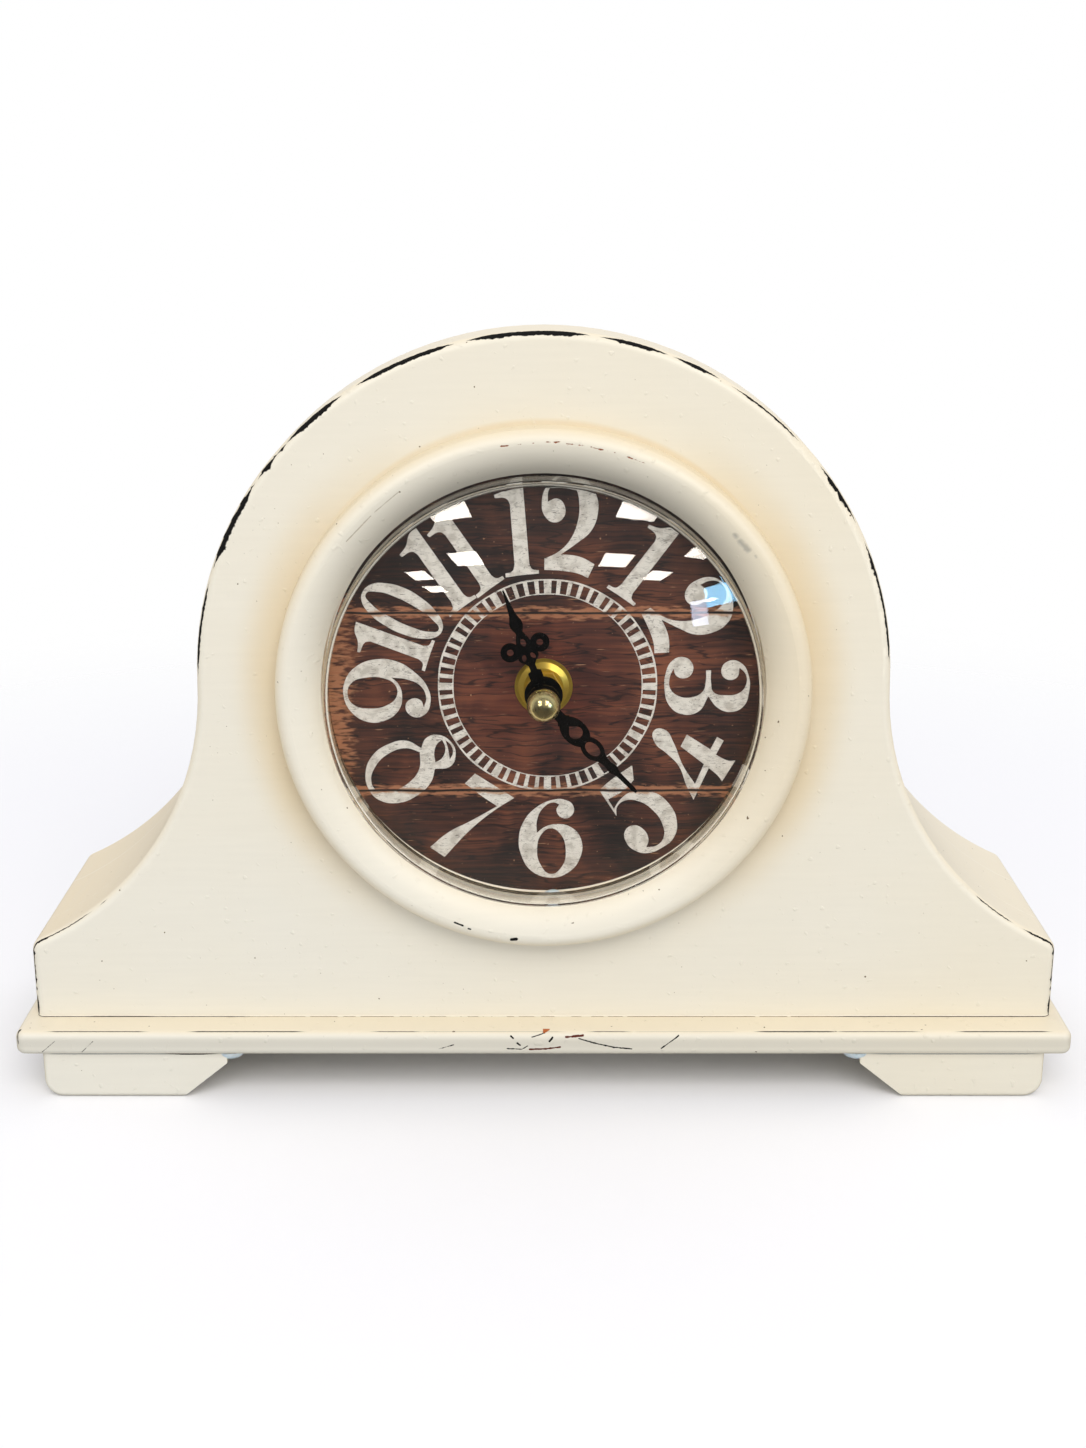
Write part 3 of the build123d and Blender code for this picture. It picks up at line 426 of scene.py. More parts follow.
def baseMarks(add, axes, ragged):
    flat = add("CombineXYZ", {0: axes["X"], 2: axes["Z"]})
    front = perMetre * (baseLow.y - panelLow.y)
    behind = add("Math", [axes["Y"], front], operation="SUBTRACT")
    face = add("MapRange", [behind, *baseLook["face"]])
    # painted shade: the front edge is greyer along its middle
    off = add("Math", [axes["Z"], perMetre * (baseLow.z + baseHigh.z) / 2], operation="SUBTRACT")
    off = add("Math", [off], operation="ABSOLUTE")
    frontShadeBand = add("MapRange", [off, *baseLook["frontShadeBand"]])
    marks = [(add("Math", [frontShadeBand, face], operation="MULTIPLY"), rubbed["grey"])]
    for name in ("black", "red", "orange"):
        mark = scratches(add, flat, baseLook[name], ragged, baseLook["scratchWander"])
        marks.append((add("Math", [mark, face], operation="MULTIPLY"), rubbed[name]))
    width = dashes(add, axes["X"], baseLook["edge"], baseLook["edgeTaper"])
    upper = perMetre * baseHigh.z - baseLook["edgeBand"]
    upper = add("Math", [axes["Z"], upper], operation="GREATER_THAN")
    width = add("Math", [width, upper], operation="MULTIPLY")
    off = add("Math", [behind, baseLook["edgeBehind"]], operation="SUBTRACT")
    marks.append((line(add, off, width, ragged, baseLook["edgeWander"]), rubbed["black"]))
    return marks


# shoulder blocks: a painted highlight, a fine pale line, runs along each glue joint between them

blockLook = dict(joints=(18.0, 48.0), halfWidth=0.25, wander=0.2)


def blockPatina(add, axes, tone):
    # painted shade: the left shoulder is tinted darker and warmer
    return leftShoulderShade(add, axes)


def blockMarks(add, axes, ragged):
    marks = []
    for joint in blockLook["joints"]:
        off = add("Math", [axes["Y"], joint], operation="SUBTRACT")
        mark = line(add, off, blockLook["halfWidth"], ragged, blockLook["wander"])
        marks.append((mark, rubbed["paleHighlight"]))
    return marks


# feet: painted shadow along the joint under the base board, black where it is open above the left front
# foot

footLook = dict(
    below=0.15, taper=6.0, wander=0.1, shade="#8B9096",
    seam=[(-147, -93, 0.2), (93, 147, 0.2)], openGapShadow=[(-112, -94, 0.34)],
)


def footMarks(add, axes, ragged):
    off = add("Math", [axes["Z"], perMetre * baseLow.z - footLook["below"]], operation="SUBTRACT")
    marks = []
    for name, code in (("seam", footLook["shade"]), ("openGapShadow", rubbed["black"])):
        width = dashes(add, axes["X"], footLook[name], footLook["taper"])
        marks.append((line(add, off, width, ragged, footLook["wander"]), code))
    return marks


dress(creamPaint("Cream chalk paint on the front panel", panelPatina, panelMarks), "front_panel")
dress(creamPaint("Cream chalk paint on the bezel", bezelPatina, bezelMarks), "bezel_ring")
dress(creamPaint("Cream chalk paint on the base", None, baseMarks), "base_board")
dress(creamPaint("Cream chalk paint on the shoulders", blockPatina, blockMarks),
      "left_shoulder_front_block", "left_shoulder_rear_block", "right_shoulder_front_block",
      "right_shoulder_rear_block", "drum_wrap")
dress(creamPaint("Cream chalk paint on the feet", None, footMarks), "front_left_foot",
      "front_right_foot", "rear_left_foot", "rear_right_foot")
print("paint on the case")


# printed dial: a paper print of old dark planks with cracks and rubbed edges, under glass

dialWood = dict(
    stain="#0F0807", ember="#6A2A1B", rubbed="#B98963", orange="#9A5230", gap="#060303", paper="#E8E2D6",
    browns=[(0.45, "#0F0807"), (0.55, "#2A1610"), (0.66, "#4F281A"), (0.82, "#7A4329")],
    joints=(21.3, -31.0), jointWander=1.2, wanderSize=18, plankShift=57.0, border=61.7, borderEdge=0.1,
    figureSize=20, figureTwist=0.4, figureBend=4.0, figureShare=0.75, grainShare=0.55,
    grain=(30, 1, 0.8), crack=(30, 1, 3.0), scratch=(7, 1, 0.5), wear=(4.0, 1, 0.9), fleckSize=1.0,
    rim=(40.0, 62.0, 0.0, 0.55), upperScorch=0.3, glow=(8.0, 30.0, 0.35, 0.0),
    cracked=(0.022, 0.008, 0.0, 0.75), scratched=(0.68, 0.76, 0.0, 0.7), flecked=(0.72, 0.8, 0.0, 0.7),
    nearJoint=(5.0, 0.3), leftRim=(-42.0, -58.0, 0.0, 0.9), edgeWorn=(0.33, 0.46, 0.0, 0.85),
    inGap=(0.45, 0.2), satin=(0.0, 1.0, 0.45, 0.65),
)


def plankJoints(add, place, axes):
    # how far a point of the dial lies from the nearest joint between planks, in millimetres
    wander = add("TexNoise", {"Vector": place, "Scale": 1 / dialWood["wanderSize"], "Detail": 3})
    wander = add("Math", [wander, 0.5], operation="SUBTRACT")
    nearest = None
    for joint in dialWood["joints"]:
        off = add("Math", [axes["Z"], joint], operation="SUBTRACT")
        off = add("Math", [wander, dialWood["jointWander"], off], operation="MULTIPLY_ADD")
        off = add("Math", [off], operation="ABSOLUTE")
        nearest = add("Math", [nearest, off], operation="MINIMUM") if nearest else off
    return nearest


def cracks(add, noise, band):
    # thin winding lines where a noise crosses its middle
    off = add("Math", [noise, 0.5], operation="SUBTRACT")
    off = add("Math", [off], operation="ABSOLUTE")
    return add("MapRange", [off, *band])


def printedPlanks():
    material, add = newMaterial("Printed wood planks on paper")
    place, axes = placeFrom(add, dialCentre)
    # each plank has its own stretch of grain: the upper one is 1, the middle one 0 and the lower one -2
    upper = add("Math", [axes["Z"], dialWood["joints"][0]], operation="GREATER_THAN")
    lower = add("Math", [axes["Z"], dialWood["joints"][1]], operation="LESS_THAN")
    plank = add("Math", [lower, -2.0, upper], operation="MULTIPLY_ADD")
    along = add("Math", [plank, dialWood["plankShift"]], operation="MULTIPLY")
    moved = add("VectorMath", [place, add("CombineXYZ", [along, plank])], operation="ADD")
    figure = add("TexNoise", {"Vector": moved, "Scale": 1 / dialWood["figureSize"], "Detail": 3,
                              "Distortion": dialWood["figureTwist"]})
    bend = add("Math", [figure, dialWood["figureBend"]], operation="MULTIPLY")
    bent = add("VectorMath", [moved, add("CombineXYZ", {2: bend})], operation="ADD")
    grain = streaks(add, bent, dialWood["grain"], 5)
    mixed = add("Math", [grain, dialWood["grainShare"]], operation="MULTIPLY")
    mixed = add("Math", [figure, dialWood["figureShare"], mixed], operation="MULTIPLY_ADD")
    brown = fillRamp(add("ValToRGB", [mixed]), dialWood["browns"])
    # scorched towards the rim and on the upper plank, and redder round the middle
    radius = add("VectorMath", [place], operation="LENGTH").outputs["Value"]
    rim = add("MapRange", [radius, *dialWood["rim"]])
    scorch = add("Math", [upper, dialWood["upperScorch"], rim], operation="MULTIPLY_ADD", use_clamp=True)
    glow = add("MapRange", [radius, *dialWood["glow"]])
    colour = add("MixRGB", [glow, brown, hexColour(dialWood["ember"])])
    colour = add("MixRGB", [scorch, colour, hexColour(dialWood["stain"])])
    # long dark cracks wind along the grain
    split = cracks(add, streaks(add, bent, dialWood["crack"]), dialWood["cracked"])
    colour = add("MixRGB", [split, colour, hexColour(dialWood["gap"])])
    # fine light scratches along the grain, and flecks
    cuts = add("MapRange", [streaks(add, moved, dialWood["scratch"]), *dialWood["scratched"]])
    dots = add("TexNoise", {"Vector": moved, "Scale": 1 / dialWood["fleckSize"], "Detail": 1})
    dots = add("MapRange", [dots, *dialWood["flecked"]])
    cuts = add("Math", [cuts, dots], operation="MAXIMUM")
    colour = add("MixRGB", [cuts, colour, hexColour(dialWood["rubbed"])])
    # rubbed edges and a black gap where planks meet, and the left rim is rubbed too
    joint = plankJoints(add, place, axes)
    edge = add("MapRange", [joint, *dialWood["nearJoint"]])
    leftward = add("MapRange", [axes["X"], *dialWood["leftRim"]])
    edge = add("Math", [edge, leftward], operation="MAXIMUM")
    edge = add("Math", [edge, streaks(add, moved, dialWood["wear"], 4)], operation="MULTIPLY")
    edge = add("MapRange", [edge, *dialWood["edgeWorn"]])
    tan = add("MixRGB", [grain, hexColour(dialWood["orange"]), hexColour(dialWood["rubbed"])])
    colour = add("MixRGB", [edge, colour, tan])
    gap = add("MapRange", [joint, *dialWood["inGap"]])
    colour = add("MixRGB", [gap, colour, hexColour(dialWood["gap"])])
    # the print stops short of the paper's edge
    margin = add("MapRange", [radius, dialWood["border"], dialWood["border"] + dialWood["borderEdge"]])
    colour = add("MixRGB", [margin, colour, hexColour(dialWood["paper"])])
    rough = add("MapRange", [grain, *dialWood["satin"]])
    add("OutputMaterial", {"Surface": add("BsdfPrincipled", {"Base Color": colour, "Roughness": rough})})
    return material


# worn print of the numbers: off-white, mottled, flecked with the wood below and cut by the joints

numberPrint = dict(
    ink="#DCD7CD", pale="#B9B2A7", wood="#3A2A22", mottleSize=3, fleck=(2.4, 1, 0.5), hair=(6.0, 1, 1.6),
    faded=(0.47, 0.62, 0.0, 0.85), flecked=(0.665, 0.7, 0.0, 0.85), cracked=(0.01, 0.006, 0.0, 0.5),
    nearJoint=(2.0, 0.5), edgeWorn=(0.3, 0.5, 0.0, 0.75), inGap=(0.5, 0.25), satin=(0.0, 1.0, 0.5, 0.65),
    shift=(1.1, 0.0), thickness=0.05,
)


def wornPrint():
    material, add = newMaterial("Worn off-white print")
    place, axes = placeFrom(add, dialCentre)
    mottle = add("TexNoise", {"Vector": place, "Scale": 1 / numberPrint["mottleSize"], "Detail": 5})
    faded = add("MapRange", [mottle, *numberPrint["faded"]])
    colour = add("MixRGB", [faded, hexColour(numberPrint["ink"]), hexColour(numberPrint["pale"])])
    # flecks and hair cracks in the ink
    flecks = add("MapRange", [streaks(add, place, numberPrint["fleck"]), *numberPrint["flecked"]])
    hairs = cracks(add, streaks(add, place, numberPrint["hair"], 3), numberPrint["cracked"])
    flecks = add("Math", [flecks, hairs], operation="MAXIMUM")
    colour = add("MixRGB", [flecks, colour, hexColour(numberPrint["wood"])])
    # worn away at the joints between planks
    joint = plankJoints(add, place, axes)
    edge = add("MapRange", [joint, *numberPrint["nearJoint"]])
    edge = add("Math", [edge, mottle], operation="MULTIPLY")
    edge = add("MapRange", [edge, *numberPrint["edgeWorn"]])
    colour = add("MixRGB", [edge, colour, hexColour(dialWood["rubbed"])])
    gap = add("MapRange", [joint, *numberPrint["inGap"]])
    colour = add("MixRGB", [gap, colour, hexColour(dialWood["gap"])])
    rough = add("MapRange", [mottle, *numberPrint["satin"]])
    add("OutputMaterial", {"Surface": add("BsdfPrincipled", {"Base Color": colour, "Roughness": rough})})
    return material


dress(printedPlanks(), "dial_paper")
printInk = wornPrint()


# numbers, drawn in millimetres: a point with a third value is a corner, the others are smooth

digitShapes = {
    "0": [[(0.3, 12.8), (3.4, 11.6), (5.4, 8.3), (6.5, 2.5), (6.1, -2), (4.6, -7.2), (2.1, -10.9),
           (-0.2, -11.8), (-2.5, -10.9), (-4.4, -8), (-5.7, -2.5), (-5.6, 3.5), (-4.2, 9), (-2.1, 12)],
          [(0.2, 11.8), (2.2, 9.2), (3.1, 3.5), (2.8, -2.8), (1.7, -8), (-0.2, -10.8), (-1.7, -9),
           (-2.8, -3.5), (-2.8, 3), (-1.7, 9.2)]],
    "1": [[(1.9, 12.3, 1), (2.1, -9.2, 1), (2.8, -10.6), (4.6, -11.0, 1), (4.6, -11.9, 1), (0, -12.0),
           (-4.7, -12.3, 1), (-4.7, -11.3, 1), (-2.7, -10.8), (-2.0, -9.2, 1), (-2.0, 6.2, 1),
           (-2.8, 7.6), (-6.0, 8.0, 1), (-6.2, 8.8, 1), (-3.4, 9.7), (-0.6, 11.8)]],
    "2": [[(0.4, 12.5), (-3.3, 12.2), (-6.3, 10.1), (-7.5, 6.4), (-6.7, 2.6), (-4.1, 0.9), (-1.7, 2.0),
           (-1.2, 5.2), (-3.2, 7.2), (-5.9, 6.4, 1), (-5.5, 9.6), (-3.6, 11.5), (-0.6, 11.7),
           (1.7, 9.9), (2.8, 5.5), (2.3, 0.8), (0.2, -3.9), (-3.0, -7.0), (-6.8, -8.8, 1),
           (-6.8, -11.8, 1), (-1.5, -12.1), (2.8, -12.9), (5.3, -14.0, 1), (7.1, -10.3, 1), (3.6, -8.5),
           (0.4, -7.8), (-2.3, -7.7, 1), (2.4, -4.5), (6.0, -1.5), (7.9, 3.2), (7.5, 7.9),
           (5.2, 10.8)]],
    "3": [[(-4.7, 1.1, 1), (-4.7, -0.3, 1), (-1.5, -0.3), (1.5, -1.1), (3.2, -4.2), (2.8, -8),
           (0.6, -10.3), (-2.6, -10.5), (-5.2, -9.5, 1), (-3.1, -8.6), (-2.4, -6.2), (-4.2, -4.1),
           (-7.3, -4.6), (-8.6, -7.2), (-7.4, -10), (-3.6, -11.7), (0.9, -11.9), (5.6, -10.5),
           (8.2, -6.8), (7.4, -2.2), (2.9, 0.5, 1), (6.4, 3.4), (7.5, 7), (6, 10.4), (1.6, 12),
           (-3, 11.8), (-6.8, 9.6), (-7.5, 6.2), (-4.9, 4), (-2.2, 5.4), (-2.6, 8.4), (-5.5, 9.1, 1),
           (-3.6, 10.9), (-0.6, 11.1), (1.8, 9.4), (2.6, 5.4), (1.7, 2), (-1, 1.2)]],
    "4": [[(-7.9, -7.3, 1), (2.5, -6.1, 1), (1.7, -9.9), (0.9, -11.5, 1), (8.2, -11.5, 1), (7.2, -9.9),
           (6.9, -5.8, 1), (11.6, -5.5, 1), (11.6, -3.3, 1), (7.5, -3.6, 1), (7.9, 4.5, 1), (4, 4.2, 1),
           (2.8, -4.3, 1), (-3.6, -5.2, 1), (-0.6, 0.6), (4, 6.6), (6, 10.6), (4.3, 13.2), (1.3, 11.2),
           (0.2, 6.6), (-1.2, 1.8), (-5.2, -3.2, 1)]],
    "5": [[(-6.2, 11.8, 1), (-2, 12.6), (5.7, 13.2, 1), (3.8, 9.2, 1), (0.5, 8.1), (-5.5, 8.0, 1),
           (-5.6, 4.7, 1), (-2.5, 6.2), (1.8, 6.4), (6.3, 3.5), (8.7, -2.5), (7.9, -8), (4.6, -11.9),
           (0.2, -12.8), (-4.4, -12), (-7, -9.5), (-7.9, -6), (-6.4, -2.8), (-3.6, -2.5), (-1.6, -5.2),
           (-2, -8.6), (-3.7, -10.3, 1), (-1, -11.4), (2, -10.4), (3.9, -6.5), (3.7, -1.5), (1.6, 3),
           (-1.6, 5.2), (-4.4, 4.8), (-6.1, 2.5, 1)]],
    "6": [[(5, 12.1), (1.6, 12.1), (-3.2, 9.8), (-6.8, 5.6), (-8.3, 0.2), (-7.6, -4.8), (-4.8, -9.6),
           (0.7, -11.8), (5.8, -10.4), (9.5, -5.6), (9.6, 0.4), (6.5, 3.9), (2.8, 4.7), (-0.6, 3.9),
           (-3.1, 2, 1), (-3, 6), (-1.1, 9.8), (1.6, 11.3), (3.4, 10.7, 1), (2.6, 8.8), (4.6, 6.5),
           (7.1, 7.5), (7.4, 10.3)],
          [(1, 3.4), (-1.6, 1.8), (-3, -3), (-2, -7.8), (1, -10.7), (4.2, -8.4), (5.3, -3.4),
           (3.8, 1.6)]],
    "7": [[(-6.4, 13.2, 1), (7, 12.2, 1), (3.9, 6.3), (0.6, -2.3), (-2, -13.4, 1), (-7.1, -12.8, 1),
           (-4.6, -6.2), (-0.6, 0), (3.9, 7.6, 1), (-1.5, 8.2), (-7.5, 9.2, 1)]],
    "8": [[(-0.6, 14), (2.6, 13), (4.8, 9.8), (3, 5.6, 1), (5.6, 2.6), (6.9, -3), (5.8, -9), (2.2, -13),
           (-1.6, -13.8), (-6.6, -11.9), (-10, -7.2), (-10.4, -1.5), (-8.5, 3.4), (-4.3, 5.8, 1),
           (-6, 8.6), (-5, 12)],
          [(-3.5, 4.8, 1), (-6.6, 2.2), (-8, -2.8), (-6.9, -8.2), (-3.6, -11.9), (-0.8, -12),
           (1.9, -8.2), (2.4, -3), (0.6, 1.8)],
          [(-3.1, 12.2, 1), (-0.6, 11.6), (1.4, 9.2), (1.5, 6.8, 1), (-1.2, 8.2), (-2.9, 10.4)],
          [(-2.6, 12.9, 1), (-0.4, 13.4), (1.8, 12.6), (3.0, 10.7, 1), (1.2, 11.6), (-0.8, 12.4)]],
    "9": [[(-2.1, 12.7), (2.2, 12.3), (6.3, 9.4), (8.7, 3.5), (8.1, -2.4), (5, -7.4), (0.6, -11),
           (-4, -11.8), (-7.6, -10), (-8.1, -6.7), (-5.2, -4.7), (-2.9, -6.4), (-3.3, -9),
           (-5.4, -9.9, 1), (-2.6, -10.6), (0.8, -9.2), (2.8, -5.4), (3.4, -0.9, 1), (1.2, -3),
           (-2, -3.8), (-6, -2.9), (-9.2, 1), (-9.7, 6), (-6.6, 10.8)],
          [(-1.6, 11.6), (-4.6, 10), (-5.7, 5.6), (-4.8, 0.6), (-2, -2.3), (1.2, -1.9), (3.2, 1.4),
           (3.4, 6), (1.8, 10.4)]],
}
# digit, bearing round the dial in degrees, distance from its centre in millimetres, turn in degrees, and
# for some how much taller they are drawn
numberPlaces = {
    "1": [("1", 37.8, 45.0, 37)], "2": [("2", 62.0, 45.0, 61)], "3": [("3", 90, 45.0, 90)],
    "4": [("4", 120.5, 46.0, -60)], "5": [("5", 145, 46.0, -32)], "6": [("6", 180, 46.0, 0)],
    "7": [("7", 208, 46.0, 29)], "8": [("8", 237, 46.0, 57)], "9": [("9", 269, 45.0, -90)],
    "10": [("1", 286.5, 45.5, -69, 0.93), ("0", 298, 45.5, -64)],
    "11": [("1", 317.6, 45.5, -34, 1.06), ("1", 329.6, 45.3, -34, 1.07)],
    "12": [("1", 350.1, 46.0, -4, 1.1), ("2", 7.3, 46.4, 0, 1.05)],
}


def drawFlat(name, contours, smoothness=8):
    # closed outlines in dial millimetres, filled and given the thickness of the print
    shape = bpy.data.curves.new(name, "CURVE")
    shape.dimensions = "2D"
    shape.fill_mode = "BOTH"
    shape.resolution_u = smoothness
    shape.extrude = numberPrint["thickness"] * mm
    for contour in contours:
        spline = shape.splines.new("BEZIER")
        spline.bezier_points.add(len(contour) - 1)
        spline.use_cyclic_u = True
        for point, (x, z, *corner) in zip(spline.bezier_points, contour):
            point.co = (x * mm, z * mm, 0)
            point.handle_left_type = point.handle_right_type = "VECTOR" if corner else "AUTO"
    obj = bpy.data.objects.new(name, shape)
    bpy.context.scene.collection.objects.link(obj)
    obj.location = dialCentre
    obj.rotation_euler = (math.radians(90), 0, 0)
    makeActive(obj)
    bpy.ops.object.convert(target="MESH")
    return bpy.context.object


def onDial(radius, degrees):
    # a place on the print, which sits a little to the right of the arbor
    right, up = numberPrint["shift"]
    bearing = math.radians(degrees)
    return (right + radius * math.sin(bearing), up + radius * math.cos(bearing))


def placeDigit(digit, bearing, distance, turn, taller=1.0):
    # a digit's outlines, turned and moved to their place on the dial
    across, along = math.cos(math.radians(turn)), math.sin(math.radians(turn))
    right, up = onDial(distance, bearing)
    placed = []
    for contour in digitShapes[digit]:
        drawn = [(x, z * taller, corner) for x, z, *corner in contour]
        placed.append([(right + x * across + z * along, up - x * along + z * across, *corner)
                       for x, z, corner in drawn])
    return placed


for number, digits in numberPlaces.items():
    outlines = [contour for digit in digits for contour in placeDigit(*digit)]
    newPiece(drawFlat("number", outlines), "number_" + number, printInk)
print("numbers printed")


# minute track: a white ring with a dark window between each pair of bars

track = dict(outer=31.0, inner=26.6, rule=0.36, bar=2.25, hourBar=4.1, minutes=60, smoothness=24)

step = 360 / track["minutes"]
roundPoints = range(0, 360, 30)  # degrees of the points on the ring's edges
trackOutlines = [[onDial(track[edge], a) for a in roundPoints] for edge in ("outer", "inner")]
for minute in range(track["minutes"]):
    bars = [track["hourBar"] if m % 5 == 0 else track["bar"] for m in (minute, minute + 1)]
    first, last = minute * step + bars[0] / 2, (minute + 1) * step - bars[1] / 2
    far, near = track["outer"] - track["rule"], track["inner"] + track["rule"]
    corners = [(far, first), (far, last), (near, last), (near, first)]
    trackOutlines.append([(*onDial(*corner), 1) for corner in corners])
newPiece(drawFlat("track", trackOutlines, track["smoothness"]), "minute_track", printInk)
print("minute track printed")


# domed glass: clear soda-lime glass, so it mirrors a little and lets the lamps through to the dial

glassShape = dict(
    skirtRadius=61.3, skirtHeight=10.0, shoulderRound=1.5, wall=1.35, seat=0.1, segments=160, rings=130,
    roundSteps=6, nearShoulder=0.01, ior=1.45,
)


def clearGlass():
    material, add = newMaterial("Clear soda-lime glass")
    glass = add("BsdfPrincipled", {"Base Color": (1, 1, 1, 1), "Roughness": 0.0, "IOR": glassShape["ior"],
                                   "Transmission Weight": 1.0})
    path = add("LightPath").outputs
    lit = add("Math", [path["Is Shadow Ray"], path["Is Diffuse Ray"]], operation="MAXIMUM")
    shader = add("MixShader", [lit, glass, add("BsdfTransparent")])
    add("OutputMaterial", {"Surface": shader})
    return material


def glassDome():
    # a cap of a sphere, an upright skirt below it and a flange under the bezel
    low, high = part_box("domed_glass")
    skirt = glassShape["skirtRadius"] * mm
    wall = glassShape["wall"] * mm
    shoulder = panelLow.y - glassShape["skirtHeight"] * mm
    flange = panelLow.y - glassShape["seat"] * mm - wall
    rise = shoulder - low.y
    curve = (skirt ** 2 + rise ** 2) / (2 * rise)
    centre = Vector((dialCentre.x, low.y + curve, dialCentre.z))
    bpy.ops.object.select_all(action="DESELECT")
    bpy.ops.mesh.primitive_uv_sphere_add(segments=glassShape["segments"], ring_count=glassShape["rings"],
                                         radius=curve, location=centre, rotation=(math.radians(90), 0, 0))
    dome = bpy.context.object
    bpy.ops.object.transform_apply(location=True, rotation=True, scale=True)
    bpy.ops.object.mode_set(mode="EDIT")
    bpy.ops.mesh.select_all(action="SELECT")
    bpy.ops.mesh.bisect(plane_co=(0, shoulder, 0), plane_no=(0, 1, 0), clear_outer=True)
    bpy.ops.mesh.extrude_region_move(TRANSFORM_OT_translate={"value": (0, flange - shoulder, 0)})
    bpy.ops.mesh.extrude_region_move(TRANSFORM_OT_translate={"value": (0, 0, 0)})
    spread = (high.x - dialCentre.x) / skirt
    middle = (dialCentre.x, flange, dialCentre.z)
    bpy.ops.transform.resize(value=(spread, 1, spread), center_override=middle)
    # the edge where the dome meets the skirt is rounded
    bpy.ops.mesh.select_all(action="DESELECT")
    shape = bmesh.from_edit_mesh(dome.data)
    near = glassShape["nearShoulder"] * mm
    for edge in shape.edges:
        edge.select_set(all(abs(end.co.y - shoulder) < near for end in edge.verts))
    bmesh.update_edit_mesh(dome.data)
    bpy.ops.mesh.bevel(offset=glassShape["shoulderRound"] * mm, segments=glassShape["roundSteps"],
                       affect="EDGES")
    bpy.ops.object.mode_set(mode="OBJECT")
    thick = dome.modifiers.new("wall", "SOLIDIFY")
    thick.thickness = wall
    thick.offset = -1
    thick.use_even_offset = True
    bpy.ops.object.modifier_apply(modifier=thick.name)
    bpy.ops.object.shade_smooth_by_angle(angle=smoothAngle)
    return dome


dome = newPiece(glassDome(), "glass_dome", clearGlass())
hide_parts("domed_glass")
print("glass dome blown")


# beads of hot-melt glue: bluish white and waxy, squeezed out above the front feet and below the dial

glueBeads = dict(
    footSize=(4.3, 2.8, 2.6), footBehind=2.2, footInside=0.8, dialSize=(2.5, 1.8, 1.5),
    dialSpot=(2.6, -2.4, -62.1), detail=4, uneven=0.35, seed=5, smoothing=4,
    blue="#C9D6DF", white="#EEF2F3", cloudSize=1.5, satin=(0.0, 1.0, 0.2, 0.4), waxy=0.2,
)


def hotMelt():
    material, add = newMaterial("Hot-melt glue")
    place = placeFrom(add, panelFoot)[0]
    cloud = add("TexNoise", {"Vector": place, "Scale": 1 / glueBeads["cloudSize"], "Detail": 2})
    colour = add("MixRGB", [cloud, hexColour(glueBeads["blue"]), hexColour(glueBeads["white"])])
    rough = add("MapRange", [cloud, *glueBeads["satin"]])
    wax = {"Base Color": colour, "Roughness": rough, "Subsurface Weight": glueBeads["waxy"]}
    add("OutputMaterial", {"Surface": add("BsdfPrincipled", wax)})
    return material


def glueBead(name, place, size, side, material):
    # a round blob, made uneven and cut flat on the side where it sticks
    bpy.ops.object.select_all(action="DESELECT")
    bpy.ops.mesh.primitive_ico_sphere_add(subdivisions=glueBeads["detail"], radius=mm, location=place)
    bead = bpy.context.object
    bead.scale = size
    bpy.ops.object.transform_apply(location=True, rotation=True, scale=True)
    bpy.ops.object.mode_set(mode="EDIT")
    bpy.ops.mesh.select_all(action="SELECT")
    bpy.ops.transform.vertex_random(offset=glueBeads["uneven"] * mm, seed=glueBeads["seed"])
    bpy.ops.mesh.vertices_smooth(factor=0.5, repeat=glueBeads["smoothing"])
    bpy.ops.mesh.bisect(plane_co=place, plane_no=side, clear_outer=True, use_fill=True)
    bpy.ops.object.mode_set(mode="OBJECT")
    bpy.ops.object.shade_smooth_by_angle(angle=smoothAngle)
    return newPiece(bead, name, material)


glue = hotMelt()
for side, foot in ((1, "front_left_foot"), (-1, "front_right_foot")):
    footLow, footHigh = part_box(foot)
    inner = footHigh.x if side > 0 else footLow.x
    inner += side * glueBeads["footInside"] * mm
    spot = Vector((inner, footLow.y + glueBeads["footBehind"] * mm, baseLow.z))
    glueBead(foot.replace("foot", "glue_bead"), spot, glueBeads["footSize"], (0, 0, 1), glue)
spot = dialCentre + mm * Vector(glueBeads["dialSpot"])
glueBead("dial_glue_bead", spot, glueBeads["dialSize"], (0, 0, -1), glue)
print("glue beads set")


# the other finishes: metals tarnish in patches, and what is moulded, pressed or painted has a fine grain,
# which is drawn coarser than it is so that it shows

hardware = dict(
    tarnish=(0.45, 0.75), dulled=(0.3, 0.7), duller=0.15, mottleSize=9, grainRelief=0.05, grainStrength=0.4,
    satin=0.08,
)


def metal(name, colour, worn, roughness, patchSize):
    material, add = newMaterial(name)
    place = placeFrom(add, dialCentre)[0]
    patches = add("TexNoise", {"Vector": place, "Scale": 1 / patchSize, "Detail": 5})
    tarnish = add("MapRange", [patches, *hardware["tarnish"]])
    tint = add("MixRGB", [tarnish, hexColour(colour), hexColour(worn)])
    rough = add("MapRange", [patches, *hardware["dulled"], roughness, roughness + hardware["duller"]])
    shader = add("BsdfPrincipled", {"Base Color": tint, "Roughness": rough, "Metallic": 1.0})
    add("OutputMaterial", {"Surface": shader})
    return material


def moulded(name, colour, patch, roughness, grainSize):
    material, add = newMaterial(name)
    place = placeFrom(add, dialCentre)[0]
    patches = add("TexNoise", {"Vector": place, "Scale": 1 / hardware["mottleSize"], "Detail": 3})
    tint = add("MixRGB", [patches, hexColour(colour), hexColour(patch)])
    grain = add("TexNoise", {"Vector": place, "Scale": 1 / grainSize, "Detail": 2})
    bump = add("Bump", {"Height": grain, "Distance": hardware["grainRelief"] * mm,
                        "Strength": hardware["grainStrength"]})
    rough = add("MapRange", [grain, 0.0, 1.0, roughness - hardware["satin"], roughness + hardware["satin"]])
    shader = add("BsdfPrincipled", {"Base Color": tint, "Roughness": rough, "Normal": bump})
    add("OutputMaterial", {"Surface": shader})
    return material


